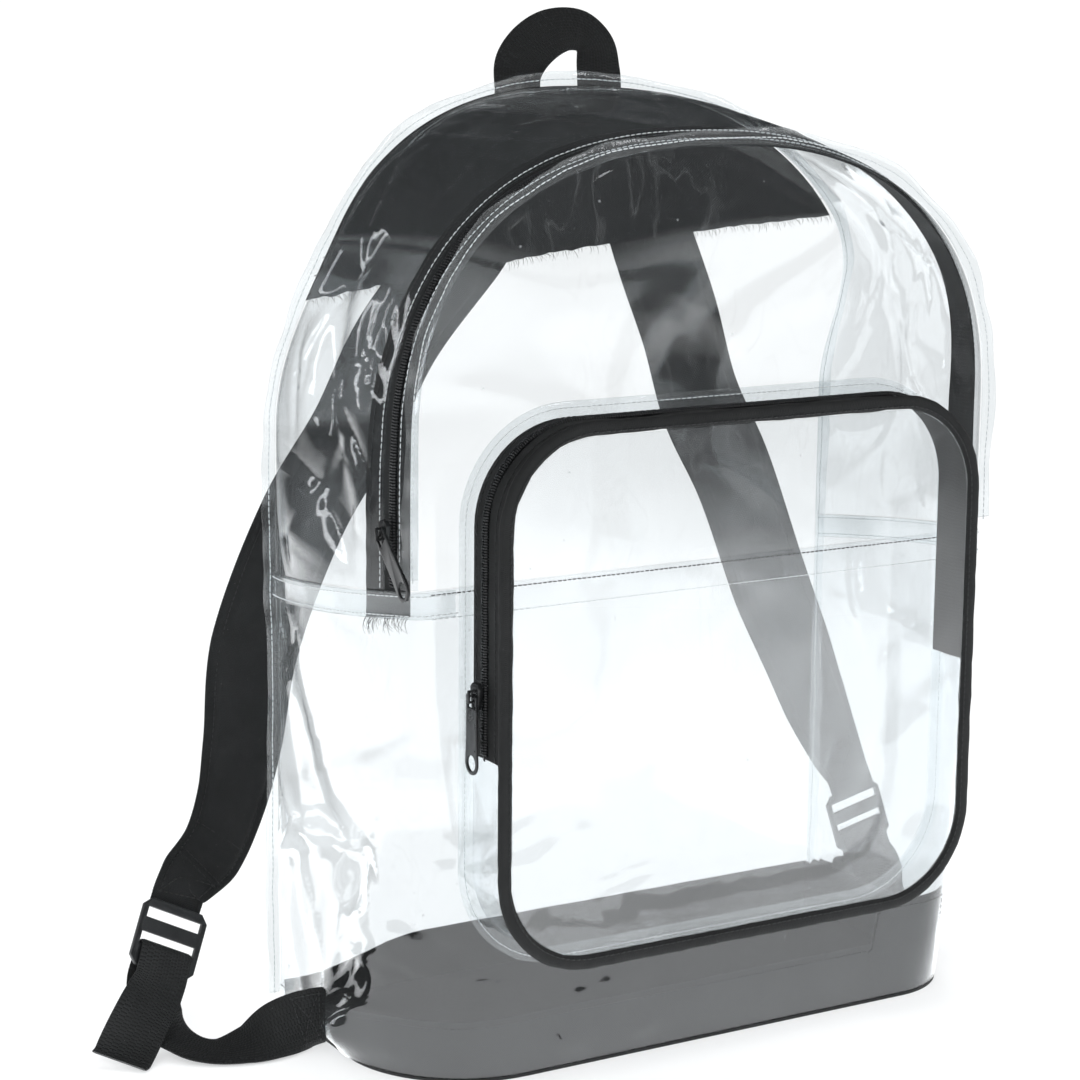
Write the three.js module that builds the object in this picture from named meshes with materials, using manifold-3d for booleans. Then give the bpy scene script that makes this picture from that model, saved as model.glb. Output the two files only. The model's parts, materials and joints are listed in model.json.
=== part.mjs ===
import * as THREE from 'three';
import Module from 'manifold-3d';

const wasm = await Module();
wasm.setup();

// Clear stadium backpack. Millimetres, +Z up, X across the bag, front towards -Y.
// The underside of the base lies at z = 0, below the middle of the bag.

// Driving sizes
const WALL = 1.0;
const GAP = 0.35;
const TUB_GAP = 0.6;
const BAG_WIDTH = 320;
const BAG_DEPTH = 140;
const BACK_HEIGHT = 451;
const FRONT_HEIGHT = 429;
const FRONT_WIDTH = 314;
const BACK_DOME_START = 310;
const FRONT_DOME_START = 300;
const BACK_DOME_POWER = 2.3;
const FRONT_DOME_POWER = 2.4;
const SEAM_FRONT = 237;
const SEAM_BACK = 221;
const SIDE_BULGE = 12;
const TOP_BULGE = 4;
const BULGE_POWER = 0.8;
const BASE_BULGE_SHARE = 0.15;
const LEAN_START = 290;
const LEAN_SPAN = 100;
const LEAN_MIDDLE = 6;
const LEAN_SHOULDER = 31;
const LEAN_POWER = 1.7;
const FRONT_PUFF = 2.5;
const FRONT_PUFF_START = 325;
const FRONT_PUFF_RISE = 50;
const FRONT_PUFF_FALL = 30;

// Lower wrap and base tub
const WRAP_BOTTOM = 1.9;
const CORNER_LEFT = 60;
const CORNER_RIGHT = 40;
const CORNER_SEAM = 4;
const CORNER_POWER = 1.6;
const FLOOR_THICK = 1.4;
const TUB_WALL = 1.2;
const TUB_FRONT = 30;
const TUB_BACK = 27;
const TUB_DROOP = 14;
const FLAP_HEIGHT = 50;
const FLAP_FROM = 96;
const FLAP_TO = 148;
const RIM_BULGE = 13;
const RIM_Y = -10;
const RIM_Z = 18;
const RIM_SPREAD_Y = 14;
const RIM_SPREAD_Z = 13;

// Seams
const HEM_HEIGHT = 12;
const HEM_THICK = 0.9;
const HEM_LIFT = 0.1;
const HEM_DROP = 0.6;
const FRONT_FIN = 7;
const BACK_FIN = 6;
const FIN_THICK = 1.3;
const FIN_WAVE = 0.22;
const FRONT_FIN_START = 0.012;
const BACK_FIN_START = 8;

// Yoke
const YOKE_LEFT = 354;
const YOKE_RIGHT = 384;
const YOKE_THICK = 1.1;
const YOKE_GAP = 0.95;
const YOKE_SHARE = 0.994;

// Main zip, distances measured back from the front seam
const ZIP_STRIP = 11;
const ZIP_REAR = 20;
const ZIP_COIL = 15;
const TAPE_FROM = 6;
const TAPE_TO = 34;
const TAPE_THICK = 0.8;
const TAPE_CLEAR = 0.15;
const TAPE_BELOW = 12;
const COIL_RADIUS = 1.4;
const COIL_CLEAR = 0.1;
const SLIDER_Z = 262;

// Front pocket
const POCKET_MARGIN = 26.5;
const POCKET_HALF = FRONT_WIDTH / 2 - POCKET_MARGIN;
const POCKET_CENTRE = 0.5;
const POCKET_BOTTOM = 61;
const POCKET_TOP = 310;
const POCKET_CORNER = 46;
const POCKET_DEPTH = 30;
const POCKET_WALL = 1.0;
const POCKET_RIM = 0.9;
const POCKET_PUFF = 2.4;
const POCKET_PUFF_EDGE = 70;
const FLANGE_WIDTH = 7;
const FLANGE_THICK = 0.9;
const FLANGE_GAP = 0.45;
const HEM_CLEAR = 1.5;
const HEM_FRONT_END = POCKET_HALF + FLANGE_WIDTH + HEM_CLEAR;
const PIPING_WIDE = 6.8;
const PIPING_THICK = 3.2;
const PIPING_OUT = 2.2;
const POCKET_ZIP_LEFT = 160;
const POCKET_ZIP_RIGHT = 179;
const POCKET_COIL_DEPTH = 13;
const POCKET_COIL_RADIUS = 1.3;
const POCKET_COIL_CLEAR = 0.25;
const POCKET_SLIDER_Z = 190;

// Zip slider and pull
const SLIDER_WIDE = 8;
const SLIDER_LONG = 12;
const SLIDER_THICK = 2.4;
const SLIDER_NOSE = 2;
const SLIDER_TAPER = 1.2;
const BRIDGE_ROOT = 0.4;
const BRIDGE_WIDE = 1.3;
const BRIDGE_INNER = 1.95;
const BRIDGE_POST = 1.1;
const BRIDGE_CLEAR = 2.2;
const BRIDGE_TOP = 1.2;
const PULL_WIDE = 9.4;
const PULL_THICK = 1.1;
const PULL_BAR = 0.55;
const PULL_WINDOW = 5.2;
const PULL_WAIST = 0.55;
const PULL_RAIL = 1.3;
const PULL_LONG = 36;
const PULL_RING = 5.4;
const PULL_HOLE = 3.7;
const PIVOT_RISE = 1.1;
const MAIN_PULL_TILT = 46;

// Straps
const WEB_WIDE = 28;
const WEB_THICK = 1.4;
const FLOOR_REST = 0.4;
const PAD_THICK = 5.5;
const PAD_EDGE = 1.35;
const PAD_WIDE = 49;
const PAD_CLEAR = 0.45;
const PAD_RISE = 2.2;
const PAD_TOP_X = 38;
const PAD_TOP_Z = 402;
const PAD_START_X = 46;
const PAD_START_Z = 389;
const TAIL_HEM = 2.6;
const HANDLE_WIDE = 25;
const HANDLE_THICK = 1.6;
const HANDLE_CLEAR = 0.65;
const BUCKLE_WIDE = 36;
const BUCKLE_LONG = 33;
const BUCKLE_THICK = 2.4;
const BUCKLE_SLOT = 30.4;
const BUCKLE_BAR = 4.5;
const BUCKLE_UPPER = 5;
const BUCKLE_MIDDLE = 7;
const BUCKLE_LOWER = 6;
const BUCKLE_CORNER = 4;

// Finishes
const VINYL = { color: '#dfe6ea', roughness: 0.12, metalness: 0 };
const RIB = { color: '#eef3f5', roughness: 0.2, metalness: 0 };
const FABRIC = { color: '#14181a', roughness: 0.9, metalness: 0 };
const WEBBING = { color: '#16191b', roughness: 0.85, metalness: 0 };
const TAPE = { color: '#121517', roughness: 0.88, metalness: 0 };
const PLASTIC = { color: '#101214', roughness: 0.4, metalness: 0 };
const PAINTED = { color: '#15181a', roughness: 0.35, metalness: 0.4 };

const HALF_DEPTH = BAG_DEPTH / 2;
const HALF_WIDTH = BAG_WIDTH / 2;
const PANEL_EDGE = HALF_DEPTH - WALL - GAP;
const V = (x, y, z) => new THREE.Vector3(x, y, z);
const lerp = THREE.MathUtils.lerp;
const clamp = THREE.MathUtils.clamp;
const smooth = (s) => THREE.MathUtils.smoothstep(s, 0, 1);
const bell = (s) => Math.exp(-s * s);

// Closed bodies from grids of points
function closedBody(points, faces) {
  const keys = new Map();
  const kept = [];
  const index = points.map((p) => {
    const key = [p.x, p.y, p.z].map((n) => Math.round(n * 1e4)).join('_');
    if (!keys.has(key)) {
      keys.set(key, kept.length);
      kept.push(p);
    }
    return keys.get(key);
  });
  const tris = faces
    .map((f) => f.map((i) => index[i]))
    .filter(([a, b, c]) => a !== b && b !== c && c !== a);
  let volume = 0;
  for (const [a, b, c] of tris) {
    volume += kept[a].dot(kept[b].clone().cross(kept[c]));
  }
  const order = volume < 0 ? tris.map(([a, b, c]) => [a, c, b]) : tris;
  const geometry = new THREE.BufferGeometry();
  geometry.setAttribute('position', new THREE.Float32BufferAttribute(kept.flatMap((p) => p.toArray()), 3));
  geometry.setIndex(order.flat());
  geometry.computeVertexNormals();
  return geometry;
}

// A sheet with two faces and a rim round its four edges
function sheet(outer, inner) {
  const rows = outer.length;
  const cols = outer[0].length;
  const points = [...outer.flat(), ...inner.flat()];
  const at = (side, j, i) => side * rows * cols + j * cols + i;
  const faces = [];
  const quad = (a, b, c, d) => faces.push([a, b, c], [a, c, d]);
  for (let j = 0; j < rows - 1; j++) {
    for (let i = 0; i < cols - 1; i++) {
      quad(at(0, j, i), at(0, j, i + 1), at(0, j + 1, i + 1), at(0, j + 1, i));
      quad(at(1, j, i), at(1, j + 1, i), at(1, j + 1, i + 1), at(1, j, i + 1));
    }
  }
  for (let i = 0; i < cols - 1; i++) {
    quad(at(0, 0, i + 1), at(0, 0, i), at(1, 0, i), at(1, 0, i + 1));
    quad(at(0, rows - 1, i), at(0, rows - 1, i + 1), at(1, rows - 1, i + 1), at(1, rows - 1, i));
  }
  for (let j = 0; j < rows - 1; j++) {
    quad(at(0, j, 0), at(0, j + 1, 0), at(1, j + 1, 0), at(1, j, 0));
    quad(at(0, j + 1, cols - 1), at(0, j, cols - 1), at(1, j, cols - 1), at(1, j + 1, cols - 1));
  }
  return closedBody(points, faces);
}

// A body through closed loops of points, joined end to end or capped
function loft(loops, joined = false) {
  const count = loops[0].length;
  const points = loops.flat();
  const at = (j, i) => (j % loops.length) * count + (i % count);
  const faces = [];
  const last = joined ? loops.length : loops.length - 1;
  for (let j = 0; j < last; j++) {
    for (let i = 0; i < count; i++) {
      faces.push([at(j, i), at(j, i + 1), at(j + 1, i + 1)], [at(j, i), at(j + 1, i + 1), at(j + 1, i)]);
    }
  }
  if (!joined) {
    for (const j of [0, loops.length - 1]) {
      const middle = loops[j].reduce((sum, p) => sum.add(p), V(0, 0, 0)).divideScalar(count);
      const hub = points.push(middle) - 1;
      for (let i = 0; i < count; i++) {
        faces.push(j === 0 ? [at(j, i + 1), at(j, i), hub] : [at(j, i), at(j, i + 1), hub]);
      }
    }
  }
  return closedBody(points, faces);
}

function tube(points, radius, sides, steps) {
  const shape = new THREE.Shape();
  for (let i = 0; i < sides; i++) {
    const a = (i / sides) * 2 * Math.PI;
    shape[i === 0 ? 'moveTo' : 'lineTo'](radius * Math.cos(a), radius * Math.sin(a));
  }
  shape.closePath();
  const path = new THREE.CatmullRomCurve3(points, false, 'centripetal');
  return new THREE.ExtrudeGeometry(shape, { steps, extrudePath: path, curveSegments: 1 });
}

// Solids for the small hard pieces
function solid(geometry) {
  const flat = geometry.index ? geometry.toNonIndexed() : geometry;
  const position = flat.getAttribute('position');
  const verts = [];
  const tris = [];
  const keys = new Map();
  for (let i = 0; i < position.count; i++) {
    const p = [position.getX(i), position.getY(i), position.getZ(i)];
    const key = p.map((n) => Math.round(n * 1e5)).join('_');
    if (!keys.has(key)) {
      keys.set(key, verts.length / 3);
      verts.push(...p);
    }
    tris.push(keys.get(key));
  }
  return new wasm.Manifold(new wasm.Mesh({
    numProp: 3,
    vertProperties: new Float32Array(verts),
    triVerts: new Uint32Array(tris),
  }));
}

function fromSolid(body) {
  const mesh = body.getMesh();
  const geometry = new THREE.BufferGeometry();
  geometry.setAttribute('position', new THREE.BufferAttribute(new Float32Array(mesh.vertProperties), 3));
  geometry.setIndex(new THREE.BufferAttribute(new Uint32Array(mesh.triVerts), 1));
  geometry.computeVertexNormals();
  return geometry;
}

function block(fromX, toX, fromY, toY, fromZ, toZ) {
  const geometry = new THREE.BoxGeometry(toX - fromX, toY - fromY, toZ - fromZ);
  geometry.translate((fromX + toX) / 2, (fromY + toY) / 2, (fromZ + toZ) / 2);
  return solid(geometry);
}

function placed(geometry, origin, xDir, yDir) {
  const zDir = xDir.clone().cross(yDir).normalize();
  const basis = new THREE.Matrix4().makeBasis(xDir, yDir, zDir).setPosition(origin);
  return geometry.clone().applyMatrix4(basis);
}

// Outline of the two arches, from the left end of the middle seam to the right end
const STRAIGHT = 0.14;
const DOME_STEPS = 20;
const ARCHES = {
  back: {
    half: HALF_WIDTH,
    start: BACK_DOME_START,
    rise: BACK_HEIGHT - BACK_DOME_START,
    power: BACK_DOME_POWER,
    seam: SEAM_BACK,
  },
  front: {
    half: FRONT_WIDTH / 2,
    start: FRONT_DOME_START,
    rise: FRONT_HEIGHT - FRONT_DOME_START,
    power: FRONT_DOME_POWER,
    seam: SEAM_FRONT,
  },
};

function archPlan(arch, t) {
  const mirrored = t > 0.5;
  const s = mirrored ? 1 - t : t;
  const foot = arch.seam + GAP / 2;
  let x = -arch.half;
  let z = lerp(foot, arch.start, s / STRAIGHT);
  if (s > STRAIGHT) {
    const angle = (Math.PI / 2) * ((s - STRAIGHT) / (0.5 - STRAIGHT));
    x = -arch.half * Math.max(Math.cos(angle), 0) ** (2 / arch.power);
    z = arch.start + arch.rise * Math.sin(angle) ** (2 / arch.power);
  }
  return [mirrored ? -x : x, z];
}

function archNormal(arch, t) {
  const step = 0.004;
  const [xa, za] = archPlan(arch, t - step);
  const [xb, zb] = archPlan(arch, t + step);
  return V(-(zb - za), 0, xb - xa).normalize();
}

function backY(x, z) {
  const lean = LEAN_MIDDLE + LEAN_SHOULDER * Math.abs(x / HALF_WIDTH) ** LEAN_POWER;
  return HALF_DEPTH - lean * smooth((z - LEAN_START) / LEAN_SPAN);
}

function backArch(t) {
  const [x, z] = archPlan(ARCHES.back, t);
  return V(x, backY(x, z), z);
}

function frontArch(t) {
  const [x, z] = archPlan(ARCHES.front, t);
  return V(x, -HALF_DEPTH, z);
}

const ARCH_STEPS = [0, STRAIGHT / 2, STRAIGHT];
for (let k = 1; k <= DOME_STEPS; k++) {
  ARCH_STEPS.push(STRAIGHT + ((1 - 2 * STRAIGHT) * k) / DOME_STEPS);
}
ARCH_STEPS.push(1 - STRAIGHT / 2, 1);

// Soft folds pressed into the side gusset and the lower wrap
const GUSSET_FOLDS = [
  { along: 0.17, across: 0.42, turn: 0.9, reach: 0.34, spread: 0.09, depth: 0.40 },
  { along: 0.24, across: 0.30, turn: -0.5, reach: 0.28, spread: 0.08, depth: 0.30 },
  { along: 0.08, across: 0.50, turn: 0.3, reach: 0.40, spread: 0.10, depth: 0.25 },
  { along: 0.36, across: 0.45, turn: 1.2, reach: 0.30, spread: 0.10, depth: 0.35 },
  { along: 0.82, across: 0.45, turn: -0.8, reach: 0.34, spread: 0.09, depth: 0.35 },
];

function gussetFold(t, w) {
  let sum = 0;
  for (const f of GUSSET_FOLDS) {
    const du = (t - f.along) * 3;
    const dv = w - f.across;
    const side = du * Math.cos(f.turn) + dv * Math.sin(f.turn);
    const run = -du * Math.sin(f.turn) + dv * Math.cos(f.turn);
    sum += f.depth * bell(side / f.spread) * bell(run / f.reach);
  }
  const keep = smooth(w / 0.15) * smooth((0.76 - w) / 0.14) * smooth(t / 0.05) * smooth((1 - t) / 0.05);
  return -SIDE_BULGE * sum * keep;
}

function bulgeAt(w) {
  return Math.sin(Math.PI * clamp(w, 0, 1)) ** BULGE_POWER;
}

function gussetPoint(t, w, offset) {
  const back = backArch(t);
  const front = frontArch(t);
  const from = V(back.x, back.y - WALL - GAP, back.z);
  const to = V(front.x, -PANEL_EDGE, front.z);
  const out = archNormal(ARCHES.back, t).lerp(archNormal(ARCHES.front, t), w).normalize();
  const side = Math.abs(t - 0.5) * 2;
  const bulge = lerp(TOP_BULGE, SIDE_BULGE, smooth((side - 0.35) / 0.5));
  const lift = bulge * bulgeAt(w) + gussetFold(t, w) + offset;
  return from.lerp(to, w).addScaledVector(out, lift);
}

// Share of the gusset depth at a distance behind the front seam
const behindFront = (distance) => 1 - distance / BAG_DEPTH;

const GUSSET_SHARES = [0, 0.13, 0.27, 0.41, 0.55, 0.67, behindFront(TAPE_TO), behindFront(ZIP_REAR)];
const EDGE_SHARES = [behindFront(ZIP_STRIP), 0.96, 1];

function gussetStrip(steps, shares, outer, inner) {
  const face = (offset) => steps.map((t) => shares.map((w) => gussetPoint(t, w, offset)));
  return sheet(face(outer), face(inner));
}

function spread(from, to, count) {
  return Array.from({ length: count + 1 }, (_, i) => lerp(from, to, i / count));
}

// Outline of the lower wrap in plan, from the back left edge round the front to the back right
function cornerRadius(base, z) {
  return CORNER_SEAM + (base - CORNER_SEAM) * (1 - clamp(z / SEAM_FRONT, 0, 1)) ** CORNER_POWER;
}

const WRAP_FOLDS = [
  { side: -1, y: -20, z: 95, turn: 0.5, reach: 46, spread: 11, depth: 4.5 },
  { side: -1, y: 22, z: 140, turn: -0.6, reach: 52, spread: 12, depth: 3.5 },
  { side: -1, y: -38, z: 165, turn: 1.1, reach: 40, spread: 10, depth: 3.0 },
  { side: 1, y: -5, z: 110, turn: 0.8, reach: 50, spread: 12, depth: 4.0 },
  { side: 1, y: 30, z: 170, turn: -0.4, reach: 44, spread: 11, depth: 3.0 },
];

function wrapFold(side, y, z) {
  let sum = 0;
  for (const f of WRAP_FOLDS.filter((fold) => fold.side === side)) {
    const across = (y - f.y) * Math.cos(f.turn) + (z - f.z) * Math.sin(f.turn);
    const run = -(y - f.y) * Math.sin(f.turn) + (z - f.z) * Math.cos(f.turn);
    sum += f.depth * bell(across / f.spread) * bell(run / f.reach);
  }
  return -sum * smooth((z - 56) / 24) * smooth((212 - z) / 24);
}

function rimBulge(side, y, z) {
  return side < 0 ? RIM_BULGE * bell((y - RIM_Y) / RIM_SPREAD_Y) * bell((z - RIM_Z) / RIM_SPREAD_Z) : 0;
}

function sideHalf(y, z) {
  const taper = (HALF_WIDTH - FRONT_WIDTH / 2) * ((HALF_DEPTH - y) / BAG_DEPTH) * clamp(z / SEAM_FRONT, 0, 1);
  return HALF_WIDTH - taper;
}

function wrapPoint(column, z, offset, backEdge, loose) {
  const sign = column.part.startsWith('left') ? -1 : 1;
  const radius = cornerRadius(sign < 0 ? CORNER_LEFT : CORNER_RIGHT, z);
  const half = sideHalf(-HALF_DEPTH, z);
  const centreX = sign * (half - radius);
  const centreY = -HALF_DEPTH + radius;
  let x;
  let y;
  let out;
  if (column.part === 'front') {
    const left = -half + cornerRadius(CORNER_LEFT, z);
    const right = half - cornerRadius(CORNER_RIGHT, z);
    x = lerp(left, right, column.share);
    y = -HALF_DEPTH;
    out = V(0, -1, 0);
  } else if (column.part.endsWith('Side')) {
    y = lerp(backEdge, centreY, column.share);
    x = sign * sideHalf(y, z);
    out = V(sign, 0, 0);
  } else {
    const angle = (Math.PI / 2) * column.share;
    out = V(sign * Math.cos(angle), -Math.sin(angle), 0);
    x = centreX + out.x * radius;
    y = centreY + out.y * radius;
  }
  const point = V(x, y, z).addScaledVector(out, offset);
  if (column.part !== 'front') {
    const share = lerp(BASE_BULGE_SHARE, 1, smooth(z / SEAM_FRONT));
    const free = loose ? wrapFold(sign, y, z) + rimBulge(sign, y, z) : 0;
    const fade = smooth((HALF_DEPTH - y) / 12);
    point.x += sign * (SIDE_BULGE * share * bulgeAt((HALF_DEPTH - y) / BAG_DEPTH) + free * fade);
  }
  return point;
}

function wrapColumns(sideShares, arcShares, frontShares) {
  const part = (name, shares) => shares.map((share) => ({ part: name, share }));
  return [
    ...part('leftSide', sideShares),
    ...part('leftArc', arcShares.slice(1)),
    ...part('front', frontShares.slice(1)),
    ...part('rightArc', [...arcShares].reverse().slice(1)),
    ...part('rightSide', [...sideShares].reverse().slice(1)),
  ];
}

function seamHeight(y) {
  return lerp(SEAM_BACK, SEAM_FRONT, clamp((HALF_DEPTH - y) / BAG_DEPTH, 0, 1));
}

function lowerWrap() {
  const columns = wrapColumns(spread(0, 1, 7), spread(0, 1, 6), spread(0, 1, 4));
  const levels = [0, 0.03, 0.07, 0.12, 0.2, 0.34, 0.5, 0.68, 0.86, 1];
  const face = (offset) => levels.map((level) => columns.map((column) => {
    const y = wrapPoint(column, SEAM_FRONT, 0, PANEL_EDGE, false).y;
    const z = lerp(WRAP_BOTTOM, seamHeight(y) - GAP / 2, level);
    return wrapPoint(column, z, offset, PANEL_EDGE, true);
  }));
  return sheet(face(0), face(-WALL));
}

// Height of the tub wall by place along its outline
function tubHeight(x, y) {
  if (y > HALF_DEPTH - 8) {
    return lerp(TUB_DROOP, TUB_BACK, smooth((x + 150) / 70));
  }
  if (x < 0 && y > -40) {
    return lerp(TUB_FRONT, TUB_DROOP, smooth((y + 40) / 90));
  }
  const onFlap = x > FLAP_FROM && x < FLAP_TO && y < 0;
  return onFlap ? FLAP_HEIGHT : TUB_FRONT;
}

function tubRing(offset, backEdge, levelOf) {
  const front = [0, 0.25, 0.5, 0.75, 0.885, 0.9, 1];
  const columns = wrapColumns(spread(0, 1, 7), spread(0, 1, 6), front);
  const ring = columns.map((column) => {
    const base = wrapPoint(column, 0, offset, backEdge, false);
    return wrapPoint(column, levelOf(base.x, base.y), offset, backEdge, false);
  });
  const first = ring[0];
  const last = ring[ring.length - 1];
  for (const s of [0.2, 0.4, 0.6, 0.8]) {
    const x = lerp(last.x, first.x, s);
    ring.push(V(x, backEdge, levelOf(x, backEdge)));
  }
  return ring;
}

function baseTub() {
  const wallOut = -WALL - TUB_GAP;
  const edge = HALF_DEPTH + wallOut;
  const inner = edge - TUB_WALL;
  return loft([
    tubRing(0, HALF_DEPTH, () => 0),
    tubRing(0, HALF_DEPTH, () => FLOOR_THICK),
    tubRing(wallOut, edge, () => FLOOR_THICK),
    tubRing(wallOut, edge, (x, y) => tubHeight(x, y) / 2),
    tubRing(wallOut, edge, tubHeight),
    tubRing(wallOut - TUB_WALL, inner, tubHeight),
    tubRing(wallOut - TUB_WALL, inner, (x, y) => tubHeight(x, y) / 2),
    tubRing(wallOut - TUB_WALL, inner, () => FLOOR_THICK),
  ]);
}

// Panels spanned between the left and right sides of an arch
function archRows(steps, arch, columns, place) {
  return steps.map((t) => {
    const [x, z] = archPlan(arch, t);
    return spread(x, -x, columns).map((px) => place(px, z));
  });
}

const HALF_STEPS = ARCH_STEPS.filter((t) => t <= 0.5 + 1e-9);

function backPanel() {
  const arch = ARCHES.back;
  const foot = arch.seam + GAP / 2;
  const toStep = (z) => (STRAIGHT * (z - foot)) / (arch.start - foot);
  const lower = [WRAP_BOTTOM, 30, 75, 120, 170].map(toStep);
  const steps = [...lower, ...HALF_STEPS];
  const face = (offset) => archRows(steps, arch, 8, (x, z) => V(x, backY(x, z) + offset, z));
  return sheet(face(0), face(-WALL));
}

function frontPanel() {
  const puff = (x, z) => {
    const rise = smooth((z - FRONT_PUFF_START) / FRONT_PUFF_RISE);
    const fall = smooth((FRONT_HEIGHT - z) / FRONT_PUFF_FALL);
    return FRONT_PUFF * rise * fall * (1 - (x / HALF_WIDTH) ** 2);
  };
  const place = (offset) => (x, z) => V(x, -HALF_DEPTH - puff(x, z) + offset, z);
  const face = (offset) => archRows(HALF_STEPS, ARCHES.front, 8, place(offset));
  return sheet(face(0), face(WALL));
}

function backYoke() {
  const arch = ARCHES.back;
  const stepAt = (level) => {
    let low = STRAIGHT;
    let high = 0.5;
    for (let k = 0; k < 40; k++) {
      const middle = (low + high) / 2;
      if (archPlan(arch, middle)[1] < level) {
        low = middle;
      } else {
        high = middle;
      }
    }
    return low;
  };
  const left = stepAt(YOKE_LEFT);
  const right = stepAt(YOKE_RIGHT);
  const face = (offset) => spread(0, 1, 9).map((share) => {
    const [xa, za] = archPlan(arch, lerp(left, 0.5, share));
    const [xb, zb] = archPlan(arch, 1 - lerp(right, 0.5, share));
    return spread(0, 1, 8).map((s) => {
      const x = lerp(xa, xb, s) * YOKE_SHARE;
      const z = lerp(za, zb, s);
      return V(x, backY(x, z) + offset, z);
    });
  });
  return sheet(face(YOKE_GAP + YOKE_THICK), face(YOKE_GAP));
}

// Seam allowance standing out from an arch
function seamFin(arch, steps, depthAt, height, waves) {
  const loops = steps.map((t, k) => {
    const [x, z] = archPlan(arch, t);
    const out = archNormal(arch, t);
    const foot = V(x, 0, z).addScaledVector(out, GAP);
    const reach = height * (1 + FIN_WAVE * Math.sin(k * waves));
    const tip = foot.clone().addScaledVector(out, reach);
    const [rear, fore] = depthAt(x, z);
    return [V(foot.x, fore, foot.z), V(tip.x, fore, tip.z), V(tip.x, rear, tip.z), V(foot.x, rear, foot.z)];
  });
  return loft(loops);
}

function frontSeamFin() {
  const steps = [FRONT_FIN_START, ...ARCH_STEPS.slice(1, -1), 1 - FRONT_FIN_START];
  const fore = -HALF_DEPTH - FIN_THICK + WALL;
  return seamFin(ARCHES.front, steps, () => [-HALF_DEPTH + WALL, fore], FRONT_FIN, 2.1);
}

function backSeamFin() {
  const arch = ARCHES.back;
  const foot = arch.seam + GAP / 2;
  const low = [BACK_FIN_START, 60, 120, 175].map((z) => (STRAIGHT * (z - foot)) / (arch.start - foot));
  const steps = [...low, ...ARCH_STEPS, ...low.map((t) => 1 - t).reverse()];
  return seamFin(arch, steps, (x, z) => [backY(x, z) - WALL, backY(x, z) - WALL + FIN_THICK], BACK_FIN, 1.7);
}

function seamHem(side) {
  const seamHalf = FRONT_WIDTH / 2 - CORNER_SEAM;
  const end = (seamHalf - HEM_FRONT_END) / (2 * seamHalf);
  const columns = wrapColumns(spread(0, 1, 7), spread(0, 1, 3), [0, end, 1 - end, 1]);
  const kept = columns.filter((column) => {
    const x = wrapPoint(column, SEAM_FRONT, 0, PANEL_EDGE, false).x;
    return side * x > HEM_FRONT_END - HEM_HEIGHT;
  });
  const face = (offset) => [1, 0.5, 0].map((share) => kept.map((column) => {
    const y = wrapPoint(column, SEAM_FRONT, 0, PANEL_EDGE, false).y;
    return wrapPoint(column, seamHeight(y) - HEM_DROP - HEM_HEIGHT * share, offset, PANEL_EDGE, false);
  }));
  return sheet(face(GAP + HEM_LIFT + HEM_THICK), face(GAP + HEM_LIFT));
}

// Main zip
const MAIN_TAPE_OUT = -WALL - GAP - TAPE_CLEAR;

function mainZipTape() {
  const below = (-STRAIGHT * TAPE_BELOW) / (FRONT_DOME_START - SEAM_FRONT);
  const steps = [below, ...ARCH_STEPS, 1 - below];
  const shares = [TAPE_TO, ZIP_REAR, ZIP_COIL, TAPE_FROM].map(behindFront);
  return gussetStrip(steps, shares, MAIN_TAPE_OUT, MAIN_TAPE_OUT - TAPE_THICK);
}

function mainZipCoil() {
  const offset = MAIN_TAPE_OUT + GAP + COIL_RADIUS;
  const points = ARCH_STEPS.map((t) => gussetPoint(clamp(t, 0.005, 0.995), behindFront(ZIP_COIL), offset));
  return tube(points, COIL_RADIUS, 5, 46);
}

// Place on the main zip for the slider: origin above the coil, zip direction, outward direction
function mainSliderFrame() {
  const foot = SEAM_FRONT + GAP / 2;
  const t = (STRAIGHT * (SLIDER_Z - foot)) / (FRONT_DOME_START - foot);
  const rise = MAIN_TAPE_OUT + 2 * GAP + 2 * COIL_RADIUS + COIL_CLEAR;
  const share = behindFront(ZIP_COIL);
  const origin = gussetPoint(t, share, rise);
  const up = gussetPoint(t + 0.02, share, rise).sub(origin).normalize();
  const out = up.clone().cross(V(0, 1, 0)).normalize();
  return { origin, up, across: up.clone().cross(out).normalize(), out };
}

function pocketSliderFrame() {
  const rise = 2 * POCKET_COIL_RADIUS + 2 * GAP + POCKET_COIL_CLEAR;
  const origin = V(POCKET_CENTRE - POCKET_HALF - rise, -HALF_DEPTH - POCKET_COIL_DEPTH, POCKET_SLIDER_Z);
  const up = V(0, 0, 1);
  const out = V(-1, 0, 0);
  return { origin, up, across: up.clone().cross(out), out };
}

function sliderBody() {
  const half = SLIDER_LONG / 2;
  const nose = new THREE.Shape();
  nose.moveTo(-SLIDER_WIDE / 2, half - SLIDER_NOSE);
  nose.lineTo(-SLIDER_WIDE / 2 + SLIDER_NOSE, half);
  nose.lineTo(SLIDER_WIDE / 2 - SLIDER_NOSE, half);
  nose.lineTo(SLIDER_WIDE / 2, half - SLIDER_NOSE);
  nose.lineTo(SLIDER_WIDE / 2 - SLIDER_TAPER, -half);
  nose.lineTo(-SLIDER_WIDE / 2 + SLIDER_TAPER, -half);
  nose.closePath();
  const plate = solid(new THREE.ExtrudeGeometry(nose, { depth: SLIDER_THICK, bevelEnabled: false }));
  const reach = BRIDGE_INNER + BRIDGE_POST;
  const side = BRIDGE_WIDE / 2;
  const under = SLIDER_THICK + BRIDGE_CLEAR;
  const arch = block(-side, side, -reach, reach, SLIDER_THICK - BRIDGE_ROOT, under + BRIDGE_TOP);
  const tunnel = block(-side - 1, side + 1, -BRIDGE_INNER, BRIDGE_INNER, SLIDER_THICK - 1, under);
  return fromSolid(plate.add(arch.subtract(tunnel)));
}

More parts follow.
